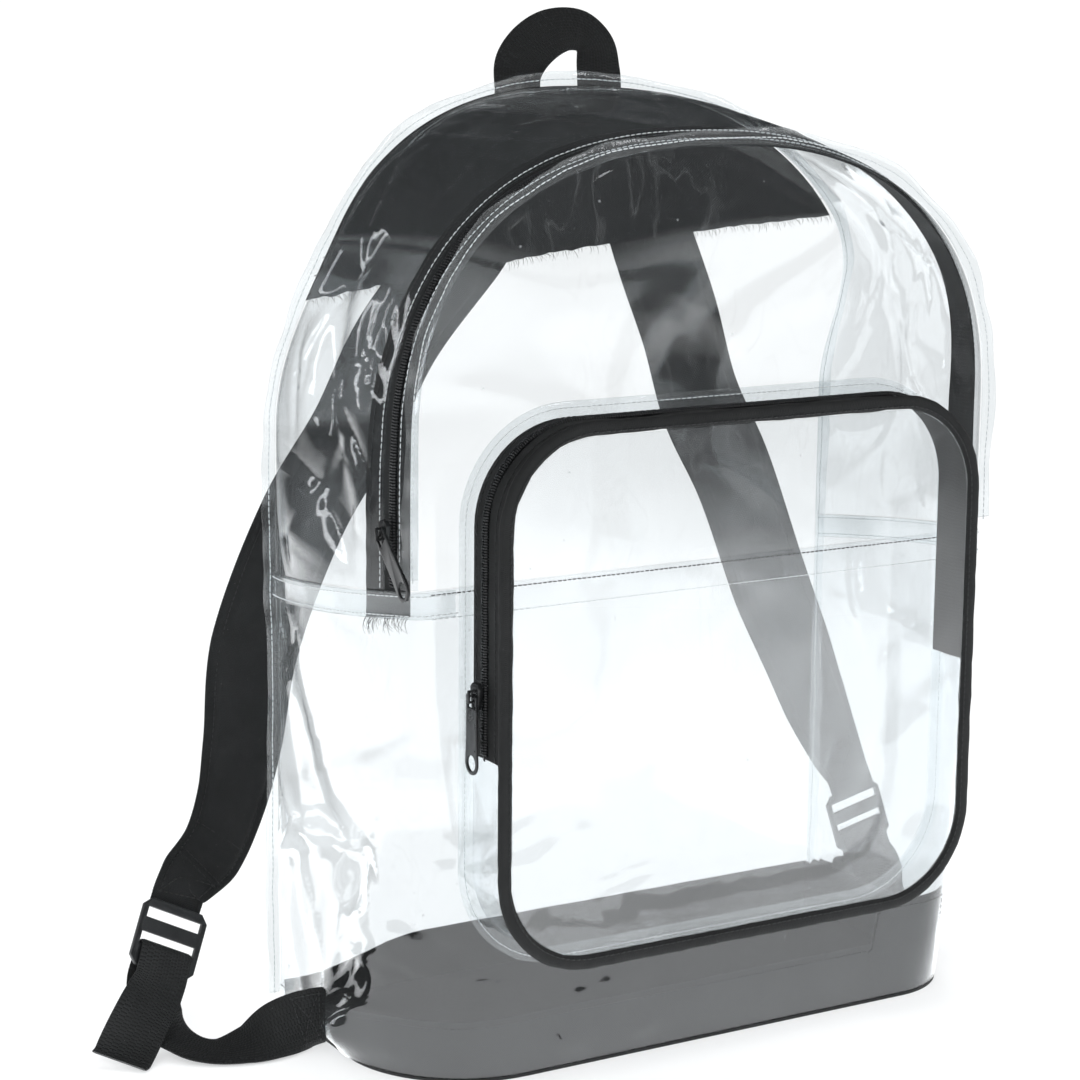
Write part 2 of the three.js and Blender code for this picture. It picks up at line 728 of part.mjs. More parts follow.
// Pull lying along -Y from the pivot, its thickness along Z
function pullBody() {
  const outline = new THREE.Shape();
  const half = PULL_WIDE / 2;
  outline.moveTo(-half, PULL_BAR);
  outline.lineTo(-half, -PULL_LONG * PULL_WAIST);
  outline.lineTo(-PULL_RING, -PULL_LONG + PULL_RING);
  for (let k = 1; k < 12; k++) {
    const a = Math.PI + (Math.PI * k) / 12;
    outline.lineTo(PULL_RING * Math.cos(a), -PULL_LONG + PULL_RING + PULL_RING * Math.sin(a));
  }
  outline.lineTo(PULL_RING, -PULL_LONG + PULL_RING);
  outline.lineTo(half, -PULL_LONG * PULL_WAIST);
  outline.lineTo(half, PULL_BAR);
  outline.closePath();
  const window = new THREE.Path();
  const inner = half - PULL_RAIL;
  window.moveTo(-inner, -PULL_BAR);
  window.lineTo(inner, -PULL_BAR);
  window.lineTo(inner, -PULL_WINDOW);
  window.lineTo(-inner, -PULL_WINDOW);
  window.closePath();
  const hole = new THREE.Path();
  hole.absarc(0, -PULL_LONG + PULL_RING, PULL_HOLE, 0, 2 * Math.PI, true);
  outline.holes.push(window, hole);
  const settings = { depth: PULL_THICK, bevelEnabled: false, curveSegments: 7 };
  const geometry = new THREE.ExtrudeGeometry(outline, settings);
  geometry.translate(0, 0, -PULL_THICK / 2);
  return fromSolid(solid(geometry));
}

function pullPlaced(frame, tiltDegrees) {
  const tilt = THREE.MathUtils.degToRad(tiltDegrees);
  const pivot = frame.origin.clone().addScaledVector(frame.out, SLIDER_THICK + PIVOT_RISE);
  const yDir = frame.up.clone().applyAxisAngle(frame.out, tilt);
  const xDir = yDir.clone().cross(frame.out);
  return placed(pullBody(), pivot, xDir, yDir);
}

// Front pocket outline, a rounded rectangle run from the bottom middle round the left side
const POCKET_ARC_STEPS = 7;

function pocketLoop(inset) {
  const half = POCKET_HALF - inset;
  const top = POCKET_TOP - inset;
  const bottom = POCKET_BOTTOM + inset;
  const radius = POCKET_CORNER - inset;
  const loop = [];
  const arc = (cx, cz, from) => {
    for (let k = 0; k <= POCKET_ARC_STEPS; k++) {
      const a = from - ((Math.PI / 2) * k) / POCKET_ARC_STEPS;
      loop.push([POCKET_CENTRE + cx + radius * Math.cos(a), cz + radius * Math.sin(a)]);
    }
  };
  const run = (xa, za, xb, zb, shares) => shares.forEach((s) => {
    loop.push([POCKET_CENTRE + lerp(xa, xb, s), lerp(za, zb, s)]);
  });
  const low = bottom + radius;
  const high = top - radius;
  run(half - radius, bottom, -half + radius, bottom, [0.25, 0.5, 0.75]);
  arc(-half + radius, low, -Math.PI / 2);
  run(-half, low, -half, high, [0.2, 0.35, 0.65]);
  arc(-half + radius, high, Math.PI);
  run(-half + radius, top, half - radius, top, [0.25, 0.5, 0.75]);
  arc(half - radius, high, Math.PI / 2);
  run(half, high, half, low, [0.35, 0.65, 0.8]);
  arc(half - radius, low, 0);
  return loop;
}

// Front face of the bag body behind the pocket
function bodyFront(x, z) {
  if (z > SEAM_FRONT) {
    return -HALF_DEPTH;
  }
  const radius = cornerRadius(x < 0 ? CORNER_LEFT : CORNER_RIGHT, z);
  const over = Math.abs(x) - (sideHalf(-HALF_DEPTH, z) - radius);
  if (over <= 0) {
    return -HALF_DEPTH;
  }
  return -HALF_DEPTH + radius - Math.sqrt(Math.max(radius * radius - over * over, 0));
}

const WALL_BACK = FLANGE_GAP + FLANGE_THICK + GAP;
const WALL_FRONT = -HALF_DEPTH - POCKET_DEPTH + PIPING_THICK + GAP;

function pocketFlange() {
  const inner = pocketLoop(0.5);
  const outer = pocketLoop(-FLANGE_WIDTH);
  const loops = inner.map(([xa, za], i) => {
    const [xb, zb] = outer[i];
    const near = bodyFront(xa, za) - FLANGE_GAP;
    const far = bodyFront(xb, zb) - FLANGE_GAP;
    return [V(xa, near, za), V(xb, far, zb), V(xb, far - FLANGE_THICK, zb), V(xa, near - FLANGE_THICK, za)];
  });
  return loft(loops, true);
}

// Part of the pocket outline between two heights, over the top or round the bottom
function pocketRun(inset, leftZ, rightZ, overTop) {
  const loop = pocketLoop(inset);
  const half = POCKET_HALF - inset;
  const isTop = ([x, z]) => z > (x < POCKET_CENTRE ? leftZ : rightZ);
  const ends = [[POCKET_CENTRE - half, leftZ], [POCKET_CENTRE + half, rightZ]];
  const first = loop.findIndex(isTop);
  const rolled = [...loop.slice(first), ...loop.slice(0, first)];
  if (overTop) {
    return [ends[0], ...rolled.filter(isTop), ends[1]];
  }
  return [ends[1], ...rolled.filter((p) => !isTop(p)), ends[0]];
}

function pocketWall(leftZ, rightZ, overTop) {
  const outer = pocketRun(0, leftZ, rightZ, overTop);
  const inner = pocketRun(POCKET_WALL, leftZ, rightZ, overTop);
  const face = (run) => run.map(([x, z]) => {
    const near = bodyFront(x, z) - WALL_BACK;
    return [0, 0.5, 1].map((s) => V(x, lerp(near, WALL_FRONT, s), z));
  });
  return sheet(face(outer), face(inner));
}

function pocketCoil() {
  const reach = POCKET_COIL_RADIUS + GAP + POCKET_COIL_CLEAR;
  const run = pocketRun(-reach, POCKET_ZIP_LEFT + 2, POCKET_ZIP_RIGHT + 2, true);
  const y = -HALF_DEPTH - POCKET_COIL_DEPTH;
  return tube(run.map(([x, z]) => V(x, y, z)), POCKET_COIL_RADIUS, 5, 44);
}

function pocketPiping() {
  const middle = pocketLoop(PIPING_WIDE / 2 - PIPING_OUT);
  const outer = pocketLoop(-PIPING_OUT);
  const y = -HALF_DEPTH - POCKET_DEPTH + PIPING_THICK / 2;
  const section = [0, 1, 2, 3, 4, 5].map((k) => (Math.PI / 3) * k);
  const loops = middle.map(([x, z], i) => {
    const dx = outer[i][0] - x;
    const dz = outer[i][1] - z;
    return section.map((a) => V(
      x + dx * Math.cos(a),
      y + (PIPING_THICK / 2) * Math.sin(a),
      z + dz * Math.cos(a),
    ));
  });
  return loft(loops, true);
}

function pocketFront() {
  const inset = PIPING_WIDE - PIPING_OUT + GAP;
  const half = POCKET_HALF - inset;
  const radius = POCKET_CORNER - inset;
  const top = POCKET_TOP - inset;
  const bottom = POCKET_BOTTOM + inset;
  const level = (k) => 1 - Math.cos((Math.PI / 2) * (k / POCKET_ARC_STEPS));
  const rises = Array.from({ length: POCKET_ARC_STEPS + 1 }, (_, k) => radius * level(k));
  const levels = [...rises.map((r) => bottom + r), lerp(bottom + radius, top - radius, 0.5),
    ...[...rises].reverse().map((r) => top - r)];
  const reach = (z) => {
    const into = Math.max(bottom + radius - z, z - top + radius, 0);
    return half - radius + Math.sqrt(Math.max(radius * radius - into * into, 0));
  };
  const rim = -HALF_DEPTH - POCKET_DEPTH + POCKET_RIM;
  const face = (offset) => levels.map((z) => spread(-1, 1, 7).map((s) => {
    const inside = smooth(Math.min(z - bottom, top - z) / POCKET_PUFF_EDGE);
    const puff = POCKET_PUFF * inside * smooth((1 - Math.abs(s)) / 0.5);
    return V(POCKET_CENTRE + s * reach(z), rim - puff + offset, z);
  }));
  return sheet(face(0), face(WALL));
}

// Ribbons: rows of a centre, a width direction, a half width and a thickness
function smoothRows(rows, parts) {
  const centres = new THREE.CatmullRomCurve3(rows.map((r) => r.at), false, 'centripetal');
  const fine = [];
  rows.forEach((row, k) => {
    if (k === rows.length - 1) {
      fine.push(row);
      return;
    }
    const next = rows[k + 1];
    for (let i = 0; i < parts; i++) {
      const s = i / parts;
      fine.push({
        at: centres.getPoint((k + s) / (rows.length - 1)),
        wide: row.wide.clone().lerp(next.wide, s).normalize(),
        half: lerp(row.half, next.half, s),
        thick: lerp(row.thick, next.thick, s),
      });
    }
  });
  return fine;
}

const FLAT_SECTION = [{ across: -1, deep: 1 }, { across: 1, deep: 1 }];
const PAD_SECTION = [
  { across: -1, deep: 0 },
  { across: -0.84, deep: 0 },
  { across: -0.66, deep: 0.85 },
  { across: 0, deep: 1 },
  { across: 0.66, deep: 0.85 },
  { across: 0.84, deep: 0 },
  { across: 1, deep: 0 },
];

function ribbon(rows, section, edge) {
  const loops = rows.map((row, k) => {
    const before = rows[Math.max(k - 1, 0)].at;
    const after = rows[Math.min(k + 1, rows.length - 1)].at;
    const along = after.clone().sub(before).normalize();
    const normal = along.clone().cross(row.wide).normalize();
    const wide = normal.clone().cross(along).normalize();
    const place = (point, sign) => {
      const deep = lerp(edge, row.thick, point.deep) / 2;
      const across = row.at.clone().addScaledVector(wide, row.half * point.across);
      return across.addScaledVector(normal, sign * deep);
    };
    const loop = [...section.map((p) => place(p, 1)), ...[...section].reverse().map((p) => place(p, -1))];
    const lift = Math.max(FLOOR_REST - Math.min(...loop.map((p) => p.z)), 0);
    return loop.map((p) => p.setZ(p.z + lift));
  });
  return loft(loops);
}

function row(x, y, z, wx, wy, wz, half, thick) {
  return { at: V(x, y, z), wide: V(wx, wy, wz).normalize(), half, thick };
}

function haulHandle() {
  const half = HANDLE_WIDE / 2;
  const flat = (x, z) => {
    const proud = Math.max(backY(x - half, z), backY(x + half, z), backY(x, z));
    const y = proud + YOKE_GAP + YOKE_THICK + HANDLE_CLEAR + HANDLE_THICK / 2;
    return row(x, y, z, -1, 0, 0, half, HANDLE_THICK);
  };
  const loop = [
    { x: -26, y: 71, z: 460, wx: -0.88, wy: 0.25, wz: 0.4 },
    { x: -15, y: 75, z: 471, wx: -0.5, wy: 0.5, wz: 0.7 },
    { x: 1, y: 78, z: 478, wx: -0.1, wy: 0.6, wz: 0.8 },
    { x: 14, y: 77, z: 477, wx: 0.45, wy: 0.45, wz: 0.75 },
    { x: 20, y: 74, z: 470, wx: 0.85, wy: 0.25, wz: 0.4 },
    { x: 20, y: 71, z: 460, wx: 1, wy: 0.05, wz: 0.08 },
  ].map((r) => row(r.x, r.y, r.z, r.wx, r.wy, r.wz, half, HANDLE_THICK));
  const right = [flat(18.5, 449), flat(18.5, 436)].map((r) => ({ ...r, wide: V(1, 0, 0) }));
  const rows = [flat(-29, 436), flat(-29, 449), ...loop, ...right];
  return ribbon(smoothRows(rows, 3), FLAT_SECTION, HANDLE_THICK);
}

// Straps. The upper run is the same on both sides, mirrored.
const STRAP_UPPER = [
  { x: 56, y: 74, z: 371, wx: 0.85, wy: 0, wz: 0.5 },
  { x: 84, y: 90, z: 326, wx: 0.93, wy: 0, wz: 0.36 },
  { x: 103, y: 98, z: 283, wx: 0.97, wy: 0, wz: 0.25 },
  { x: 129, y: 103, z: 240, wx: 0.98, wy: 0, wz: 0.2 },
  { x: 156, y: 104, z: 176, wx: 0.95, wy: 0, wz: 0.3 },
];

const SIDES = {
  left: {
    sign: -1,
    lower: [
      { x: -165, y: 100, z: 130, wx: 0.9, wy: 0, wz: -0.3, half: 22 },
      { x: -173.5, y: 95, z: 103.6, wx: 0.89, wy: 0, wz: -0.46, half: 20 },
      { x: -189.8, y: 83, z: 82, wx: 0.93, wy: 0, wz: -0.36, half: 17 },
    ],
    buckle: { centre: V(-225.5, 56, 50), down: V(-0.436, -0.305, -0.846), across: V(0.89, 0, -0.46) },
    rootY: 13,
    rootGap: 1.1,
    tail: [
      { x: -246, y: 38.5, z: 22, wx: 0.87, wy: -0.2, wz: -0.4 },
      { x: -255, y: 35, z: 10, wx: 0.84, wy: -0.42, wz: -0.2 },
      { x: -262, y: 31, z: 2, wx: 0.82, wy: -0.57, wz: 0 },
    ],
  },
  right: {
    sign: 1,
    lower: [
      { x: 172, y: 102, z: 140, wx: 0.97, wy: 0, wz: 0.22, half: 23 },
      { x: 184, y: 98, z: 108, wx: 0.99, wy: 0, wz: 0.12, half: 21 },
      { x: 196, y: 94, z: 80, wx: 0.98, wy: 0, wz: 0.18, half: 17 },
    ],
    buckle: { centre: V(208.5, 88, 40), down: V(0.22, -0.17, -0.96), across: V(-0.975, 0, -0.222) },
    rootY: 46,
    rootGap: 0.35,
    tail: [
      { x: 214, y: 93, z: 15, wx: -0.97, wy: 0.1, wz: -0.2 },
      { x: 211, y: 99, z: 6, wx: -0.95, wy: 0.3, wz: -0.05 },
      { x: 205, y: 108, z: 2, wx: -0.93, wy: 0.36, wz: 0 },
    ],
  },
};

// Local place on a buckle: down the strap, and out from its face
function buckleFrame(side) {
  const { centre, down, across } = SIDES[side].buckle;
  const d = down.clone().normalize();
  const w = across.clone().addScaledVector(d, -across.dot(d)).normalize();
  const n = d.clone().cross(w).normalize();
  const at = (along, out) => centre.clone().addScaledVector(d, along).addScaledVector(n, out);
  return { d, w, n, at, centre };
}

function strapPad(side) {
  const { sign, lower } = SIDES[side];
  const { w, at } = buckleFrame(side);
  const wide = sign < 0 ? w : w.clone().negate();
  const seat = YOKE_GAP + YOKE_THICK + PAD_CLEAR + PAD_THICK * 0.3;
  const slope = (backY(PAD_TOP_X + 1, PAD_TOP_Z) - backY(PAD_TOP_X - 1, PAD_TOP_Z)) / 2;
  const turned = [0.86, sign * slope, sign * 0.5];
  const topY = backY(PAD_TOP_X, PAD_TOP_Z) + seat;
  const startY = backY(PAD_START_X, PAD_START_Z) + seat + PAD_RISE;
  const halfPad = PAD_WIDE / 2;
  const top = row(sign * PAD_TOP_X, topY, PAD_TOP_Z, ...turned, halfPad - 0.5, PAD_THICK * 0.6);
  const start = row(sign * PAD_START_X, startY, PAD_START_Z, ...turned, halfPad, PAD_THICK * 0.8);
  const upper = STRAP_UPPER.map((r) => row(sign * r.x, r.y, r.z, r.wx, 0, sign * r.wz, halfPad, PAD_THICK));
  const below = lower.map((r, k) => row(r.x, r.y, r.z, r.wx, r.wy, r.wz, r.half, PAD_THICK * (1 - 0.2 * k)));
  const half = WEB_WIDE / 2;
  const tongue = (along, out) => ({ at: at(along, out), wide, half, thick: WEB_THICK });
  const end = [tongue(-27, -1), tongue(-20, -2.2), tongue(-14.5, -2.4)];
  return ribbon(smoothRows([top, start, ...upper, ...below, ...end], 2), PAD_SECTION, PAD_EDGE);
}

function buckle(side) {
  const { centre, w, d } = buckleFrame(side);
  const halfWide = BUCKLE_WIDE / 2;
  const halfLong = BUCKLE_LONG / 2;
  const corner = BUCKLE_CORNER;
  const frame = new THREE.Shape();
  frame.moveTo(-halfWide + corner, -halfLong);
  frame.lineTo(halfWide - corner, -halfLong);
  frame.lineTo(halfWide, -halfLong + corner);
  frame.lineTo(halfWide, halfLong - corner);
  frame.lineTo(halfWide - corner, halfLong);
  frame.lineTo(-halfWide + corner, halfLong);
  frame.lineTo(-halfWide, halfLong - corner);
  frame.lineTo(-halfWide, -halfLong + corner);
  frame.closePath();
  const slot = (from, to) => {
    const path = new THREE.Path();
    path.moveTo(-BUCKLE_SLOT / 2, from);
    path.lineTo(BUCKLE_SLOT / 2, from);
    path.lineTo(BUCKLE_SLOT / 2, to);
    path.lineTo(-BUCKLE_SLOT / 2, to);
    path.closePath();
    return path;
  };
  const upper = halfLong - BUCKLE_BAR;
  const middle = upper - BUCKLE_UPPER - BUCKLE_MIDDLE;
  frame.holes.push(slot(upper - BUCKLE_UPPER, upper), slot(middle - BUCKLE_LOWER, middle));
  const geometry = new THREE.ExtrudeGeometry(frame, { depth: BUCKLE_THICK, bevelEnabled: false });
  geometry.translate(0, 0, -BUCKLE_THICK / 2);
  return placed(fromSolid(solid(geometry)), centre, w, d.clone().negate());
}

// Webbing from the base, behind the lower bar, up through the slot and down as the free tail
const LOAD_RUN = [
  { x: 1.0, y: 1.0, z: 14.9, wx: 0, wy: 0, wz: 1 },
  { x: 0.86, y: 1.0, z: 14.6, wx: 0, wy: 0.15, wz: 0.98 },
  { x: 0.62, y: 0.98, z: 11.6, wx: 0, wy: 0.62, wz: 0.76 },
  { x: 0.36, y: 0.88, z: 5.4, wx: -0.2, wy: 0.94, wz: 0.26 },
  { x: 0.12, y: 0.70, z: 2.6, wx: -0.65, wy: 0.75, wz: 0.03 },
  { x: -0.04, y: 0.42, z: 5.2, wx: -0.84, wy: 0.5, wz: -0.12 },
  { x: -0.14, y: 0.24, z: 14, wx: -0.9, wy: 0.1, wz: -0.3 },
];

// Outermost X of the lower wrap along the edge where the webbing is sewn in
function wrapSide(side, y) {
  const part = side === 'left' ? 'leftSide' : 'rightSide';
  const reach = spread(WRAP_BOTTOM, WEB_WIDE + 1, 6).map((z) => {
    const radius = cornerRadius(side === 'left' ? CORNER_LEFT : CORNER_RIGHT, z);
    const share = (PANEL_EDGE - y) / (PANEL_EDGE + HALF_DEPTH - radius);
    return Math.abs(wrapPoint({ part, share }, z, 0, PANEL_EDGE, true).x);
  });
  return Math.max(...reach);
}

function strapWebbing(side) {
  const { sign, rootY, rootGap, tail } = SIDES[side];
  const root = V(sign * (wrapSide(side, rootY) + rootGap), rootY, 0);
  const { centre, w, at } = buckleFrame(side);
  const half = WEB_WIDE / 2;
  const load = LOAD_RUN.map((r) => row(
    lerp(centre.x, root.x, r.x),
    lerp(centre.y, root.y, r.y),
    r.z,
    sign * r.wx,
    r.wy,
    r.wz,
    half,
    WEB_THICK,
  ));
  const wrap = (along, out) => ({ at: at(along, out), wide: w.clone(), half, thick: WEB_THICK });
  const bar = BUCKLE_BAR + BUCKLE_UPPER + BUCKLE_MIDDLE + BUCKLE_LOWER - BUCKLE_LONG / 2;
  const turn = [[22, 3.3], [bar + 3, 2.5], [bar - 0.3, 2.1], [bar - 1.4, 1.2], [bar - 1.8, 0]];
  const around = [
    ...turn.map(([along, out]) => wrap(along, -out)),
    ...turn.slice(0, -1).reverse().map(([along, out]) => wrap(along, out)),
  ];
  const loose = tail.map((r) => row(r.x, r.y, r.z, r.wx, r.wy, r.wz, half, WEB_THICK));
  loose[loose.length - 1].thick = TAIL_HEM;
  return ribbon(smoothRows([...load, ...around, ...loose], 2), FLAT_SECTION, WEB_THICK);
}

// Assembly
const pack = new THREE.Group();
pack.name = 'clear_stadium_backpack';

function add(name, geometry, finish) {
  const mesh = new THREE.Mesh(geometry, new THREE.MeshStandardMaterial(finish));
  mesh.name = name;
  pack.add(mesh);
}

function addBody() {
  add('base_tub', baseTub(), FABRIC);
  add('lower_wrap', lowerWrap(), VINYL);
  add('front_panel', frontPanel(), VINYL);
  add('back_panel', backPanel(), VINYL);
  add('gusset_rear', gussetStrip(ARCH_STEPS, GUSSET_SHARES, 0, -WALL), VINYL);
  add('gusset_front', gussetStrip(ARCH_STEPS, EDGE_SHARES, 0, -WALL), VINYL);
  add('mid_hem_left', seamHem(-1), RIB);
  add('mid_hem_right', seamHem(1), RIB);
  add('front_seam_fin', frontSeamFin(), RIB);
  add('back_seam_fin', backSeamFin(), RIB);
  add('back_yoke', backYoke(), FABRIC);
  add('haul_handle', haulHandle(), WEBBING);
}

function addMainZip() {
  const frame = mainSliderFrame();
  add('main_zip_tape', mainZipTape(), TAPE);
  add('main_zip_coil', mainZipCoil(), PLASTIC);
  add('main_zip_slider', placed(sliderBody(), frame.origin, frame.across, frame.up), PAINTED);
  add('main_zip_pull', pullPlaced(frame, MAIN_PULL_TILT), PAINTED);
}

function addPocket() {
  const frame = pocketSliderFrame();
  add('pocket_flange', pocketFlange(), RIB);
  add('pocket_wall', pocketWall(POCKET_ZIP_LEFT - GAP, POCKET_ZIP_RIGHT - GAP, false), VINYL);
  add('pocket_zip_tape', pocketWall(POCKET_ZIP_LEFT, POCKET_ZIP_RIGHT, true), TAPE);
  add('pocket_zip_coil', pocketCoil(), PLASTIC);
  add('pocket_zip_slider', placed(sliderBody(), frame.origin, frame.across, frame.up), PAINTED);
  add('pocket_zip_pull', pullPlaced(frame, 0), PAINTED);
  add('pocket_piping', pocketPiping(), FABRIC);
  add('pocket_front', pocketFront(), VINYL);
}

function addStraps() {
  for (const side of ['left', 'right']) {
    add(`strap_${side}_pad`, strapPad(side), FABRIC);
    add(`strap_${side}_buckle`, buckle(side), PLASTIC);
    add(`strap_${side}_webbing`, strapWebbing(side), WEBBING);
  }
}

addBody();
addMainZip();
addPocket();
addStraps();

export default pack;
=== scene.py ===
"""Clear stadium backpack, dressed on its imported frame. Metres, +Z up, the front faces -Y."""

import json
import logging
import math
from dataclasses import dataclass, field
from enum import Enum
from typing import Callable, Sequence

import bmesh
import bpy
import numpy as np
from mathutils import Matrix, Vector

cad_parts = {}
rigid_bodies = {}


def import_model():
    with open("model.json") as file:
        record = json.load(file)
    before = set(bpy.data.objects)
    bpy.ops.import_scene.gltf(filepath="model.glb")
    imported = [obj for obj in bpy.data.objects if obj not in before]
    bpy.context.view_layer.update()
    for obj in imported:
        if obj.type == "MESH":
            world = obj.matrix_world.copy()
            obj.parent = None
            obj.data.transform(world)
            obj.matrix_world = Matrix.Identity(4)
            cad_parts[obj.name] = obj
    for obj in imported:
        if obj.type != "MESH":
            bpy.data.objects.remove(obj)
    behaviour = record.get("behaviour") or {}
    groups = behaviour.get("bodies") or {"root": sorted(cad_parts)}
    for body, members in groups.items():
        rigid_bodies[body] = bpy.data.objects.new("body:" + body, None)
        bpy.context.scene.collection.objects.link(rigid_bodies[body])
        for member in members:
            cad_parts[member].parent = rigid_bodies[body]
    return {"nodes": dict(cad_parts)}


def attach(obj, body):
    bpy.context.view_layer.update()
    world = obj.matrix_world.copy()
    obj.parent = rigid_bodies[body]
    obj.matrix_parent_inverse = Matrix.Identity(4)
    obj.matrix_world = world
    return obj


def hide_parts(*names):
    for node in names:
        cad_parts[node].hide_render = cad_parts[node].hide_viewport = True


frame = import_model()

LOG = logging.getLogger("clear_backpack")
MM = 0.001
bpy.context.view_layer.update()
Grid = np.ndarray


class Side(Enum):
    """The two sides of the bag, by the sign of X."""

    LEFT = -1
    RIGHT = 1


class Part(Enum):
    """Stretches of the lower wrap's outline, from the back left edge round the front."""

    LEFT_SIDE = "left side"
    LEFT_ARC = "left corner"
    FRONT = "front"
    RIGHT_ARC = "right corner"
    RIGHT_SIDE = "right side"


def lerp(a: float | Grid, b: float | Grid, s: float | Grid) -> float | Grid:
    """Value at share s between a and b."""
    return a + (b - a) * s


def smooth(s: float | Grid) -> Grid:
    """Smooth step from 0 to 1."""
    s = np.clip(s, 0.0, 1.0)
    return s * s * (3 - 2 * s)


def bell(s: float | Grid) -> Grid:
    """Bell curve, 1 at the middle."""
    return np.exp(-np.square(s))


def unit(v: Grid) -> Grid:
    """Vectors brought to length 1 along the last axis."""
    v = np.asarray(v, float)
    return v / np.maximum(np.linalg.norm(v, axis=-1, keepdims=True), 1e-9)


def point(x: float, y: float, z: float) -> Grid:
    """One point in millimetres."""
    return np.array([x, y, z], float)


@dataclass(frozen=True)
class Ripple:
    """Smooth seeded unevenness made of plane waves, about -1 to 1. Length is in millimetres."""

    length: float
    seed: int
    waves: int = 12
    stretch: tuple[float, float, float] = (1.0, 1.0, 1.0)

    def at(self, points: Grid) -> Grid:
        """Height of the ripple.

        Args:
            points: places in millimetres, shaped (..., 3).

        Returns:
            One value for each place.
        """
        rng = np.random.default_rng(self.seed)
        ways = unit(rng.normal(size=(self.waves, 3))) / np.array(self.stretch)
        rates = 2 * math.pi / (self.length * rng.uniform(0.6, 1.5, self.waves))
        phases = rng.uniform(0, 2 * math.pi, self.waves)
        return np.sin(points @ (ways * rates[:, None]).T + phases).sum(-1) / math.sqrt(self.waves / 1.2)


@dataclass(frozen=True)
class Crinkles:
    """Seeded straight folds scattered over a sheet: a kink along a line with soft shoulders. Millimetres."""

    count: int
    seed: int
    lean: float = 0.6
    scatter: float = 0.6
    reach: tuple[float, float] = (12.0, 42.0)
    spread: tuple[float, float] = (1.6, 5.5)
    depth: tuple[float, float] = (-1.8, 1.2)

    def at(self, u: Grid, v: Grid) -> Grid:
        """Height of the folds.

        Args:
            u: distance along the sheet.
            v: distance across the sheet.

        Returns:
            Height at each place.
        """
        rng = np.random.default_rng(self.seed)
        total = np.zeros(np.broadcast(u, v).shape)
        for _ in range(self.count):
            cu, cv = rng.uniform(u.min(), u.max()), rng.uniform(v.min(), v.max())
            turn = rng.normal(self.lean, self.scatter) * rng.choice([-1, 1], p=[0.3, 0.7])
            side = (u - cu) * math.cos(turn) + (v - cv) * math.sin(turn)
            run = -(u - cu) * math.sin(turn) + (v - cv) * math.cos(turn)
            side = side + 0.012 * run**2 * rng.uniform(-1, 1)
            spread, reach = rng.uniform(*self.spread), rng.uniform(*self.reach)
            total += rng.uniform(*self.depth) * np.exp(-np.abs(side) / spread) * bell(run / reach)
        return total


@dataclass
class Skin:
    """One mesh in the making: vertices in millimetres, faces, and a cloth map in metres."""

    verts: Grid
    faces: list[tuple[int, ...]]
    uvs: Grid

    def joined(self, other: "Skin") -> "Skin":
        """Both meshes as one.

        Args:
            other: the mesh to add.

        Returns:
            A new mesh that holds the two.
        """
        shift = len(self.verts)
        return Skin(
            np.concatenate([self.verts, other.verts]),
            self.faces + [tuple(i + shift for i in f) for f in other.faces],
            np.concatenate([self.uvs, other.uvs]),
        )


def run_length(points: Grid, axis: int) -> Grid:
    """Mean distance run along one axis of a grid of points.

    Args:
        points: grid shaped (rows, columns, 3).
        axis: 0 for down the rows, 1 for across the columns.

    Returns:
        Distance of each row or column from the first.
    """
    steps = np.linalg.norm(np.diff(points, axis=axis), axis=-1).mean(axis=1 - axis)
    return np.concatenate([[0.0], np.cumsum(steps)])


def closed_sheet(outer: Grid, inner: Grid) -> Skin:
    """A sheet with two faces and a rim round its four edges.

    Args:
        outer: grid of the outer face, shaped (rows, columns, 3).
        inner: grid of the inner face.

    Returns:
        The closed mesh.
    """
    rows, cols = outer.shape[:2]
    count = rows * cols
    across, along = np.meshgrid(run_length(outer, 1), run_length(outer, 0))
    uv = np.stack([across, along], -1).reshape(-1, 2) * MM
    at = np.arange(count).reshape(rows, cols)
    a, b, c, d = at[:-1, :-1], at[:-1, 1:], at[1:, 1:], at[1:, :-1]
    quads = [np.stack([a, b, c, d], -1), np.stack([a, d, c, b], -1) + count]
    for edge in (at[0, ::-1], at[-1], at[:, 0], at[::-1, -1]):
        quads.append(np.stack([edge[:-1], edge[1:], edge[1:] + count, edge[:-1] + count], -1))
    faces = [tuple(int(i) for i in q) for block in quads for q in block.reshape(-1, 4)]
    return Skin(
        np.concatenate([outer.reshape(-1, 3), inner.reshape(-1, 3)]), faces, np.concatenate([uv, uv])
    )


def lofted(loops: Grid, joined: bool = False) -> Skin:
    """A body through closed loops of points.

    Args:
        loops: shaped (loops, points in a loop, 3).
        joined: whether the last loop joins the first; otherwise both ends are capped.

    Returns:
        The closed mesh.
    """
    loops = np.concatenate([loops, loops[:, :1]], axis=1)
    if joined:
        loops = np.concatenate([loops, loops[:1]])
    rows, cols = loops.shape[:2]
    across, along = np.meshgrid(run_length(loops, 1), run_length(loops, 0))
    uv = np.stack([across, along], -1).reshape(-1, 2) * MM
    at = np.arange(rows * cols).reshape(rows, cols)
    quads = np.stack([at[:-1, :-1], at[:-1, 1:], at[1:, 1:], at[1:, :-1]], -1).reshape(-1, 4)
    faces = [tuple(int(i) for i in q) for q in quads]
    if not joined:
        faces.append(tuple(int(i) for i in at[0, :-1][::-1]))
        faces.append(tuple(int(i) for i in at[-1, :-1]))
    return Skin(loops.reshape(-1, 3), faces, uv)


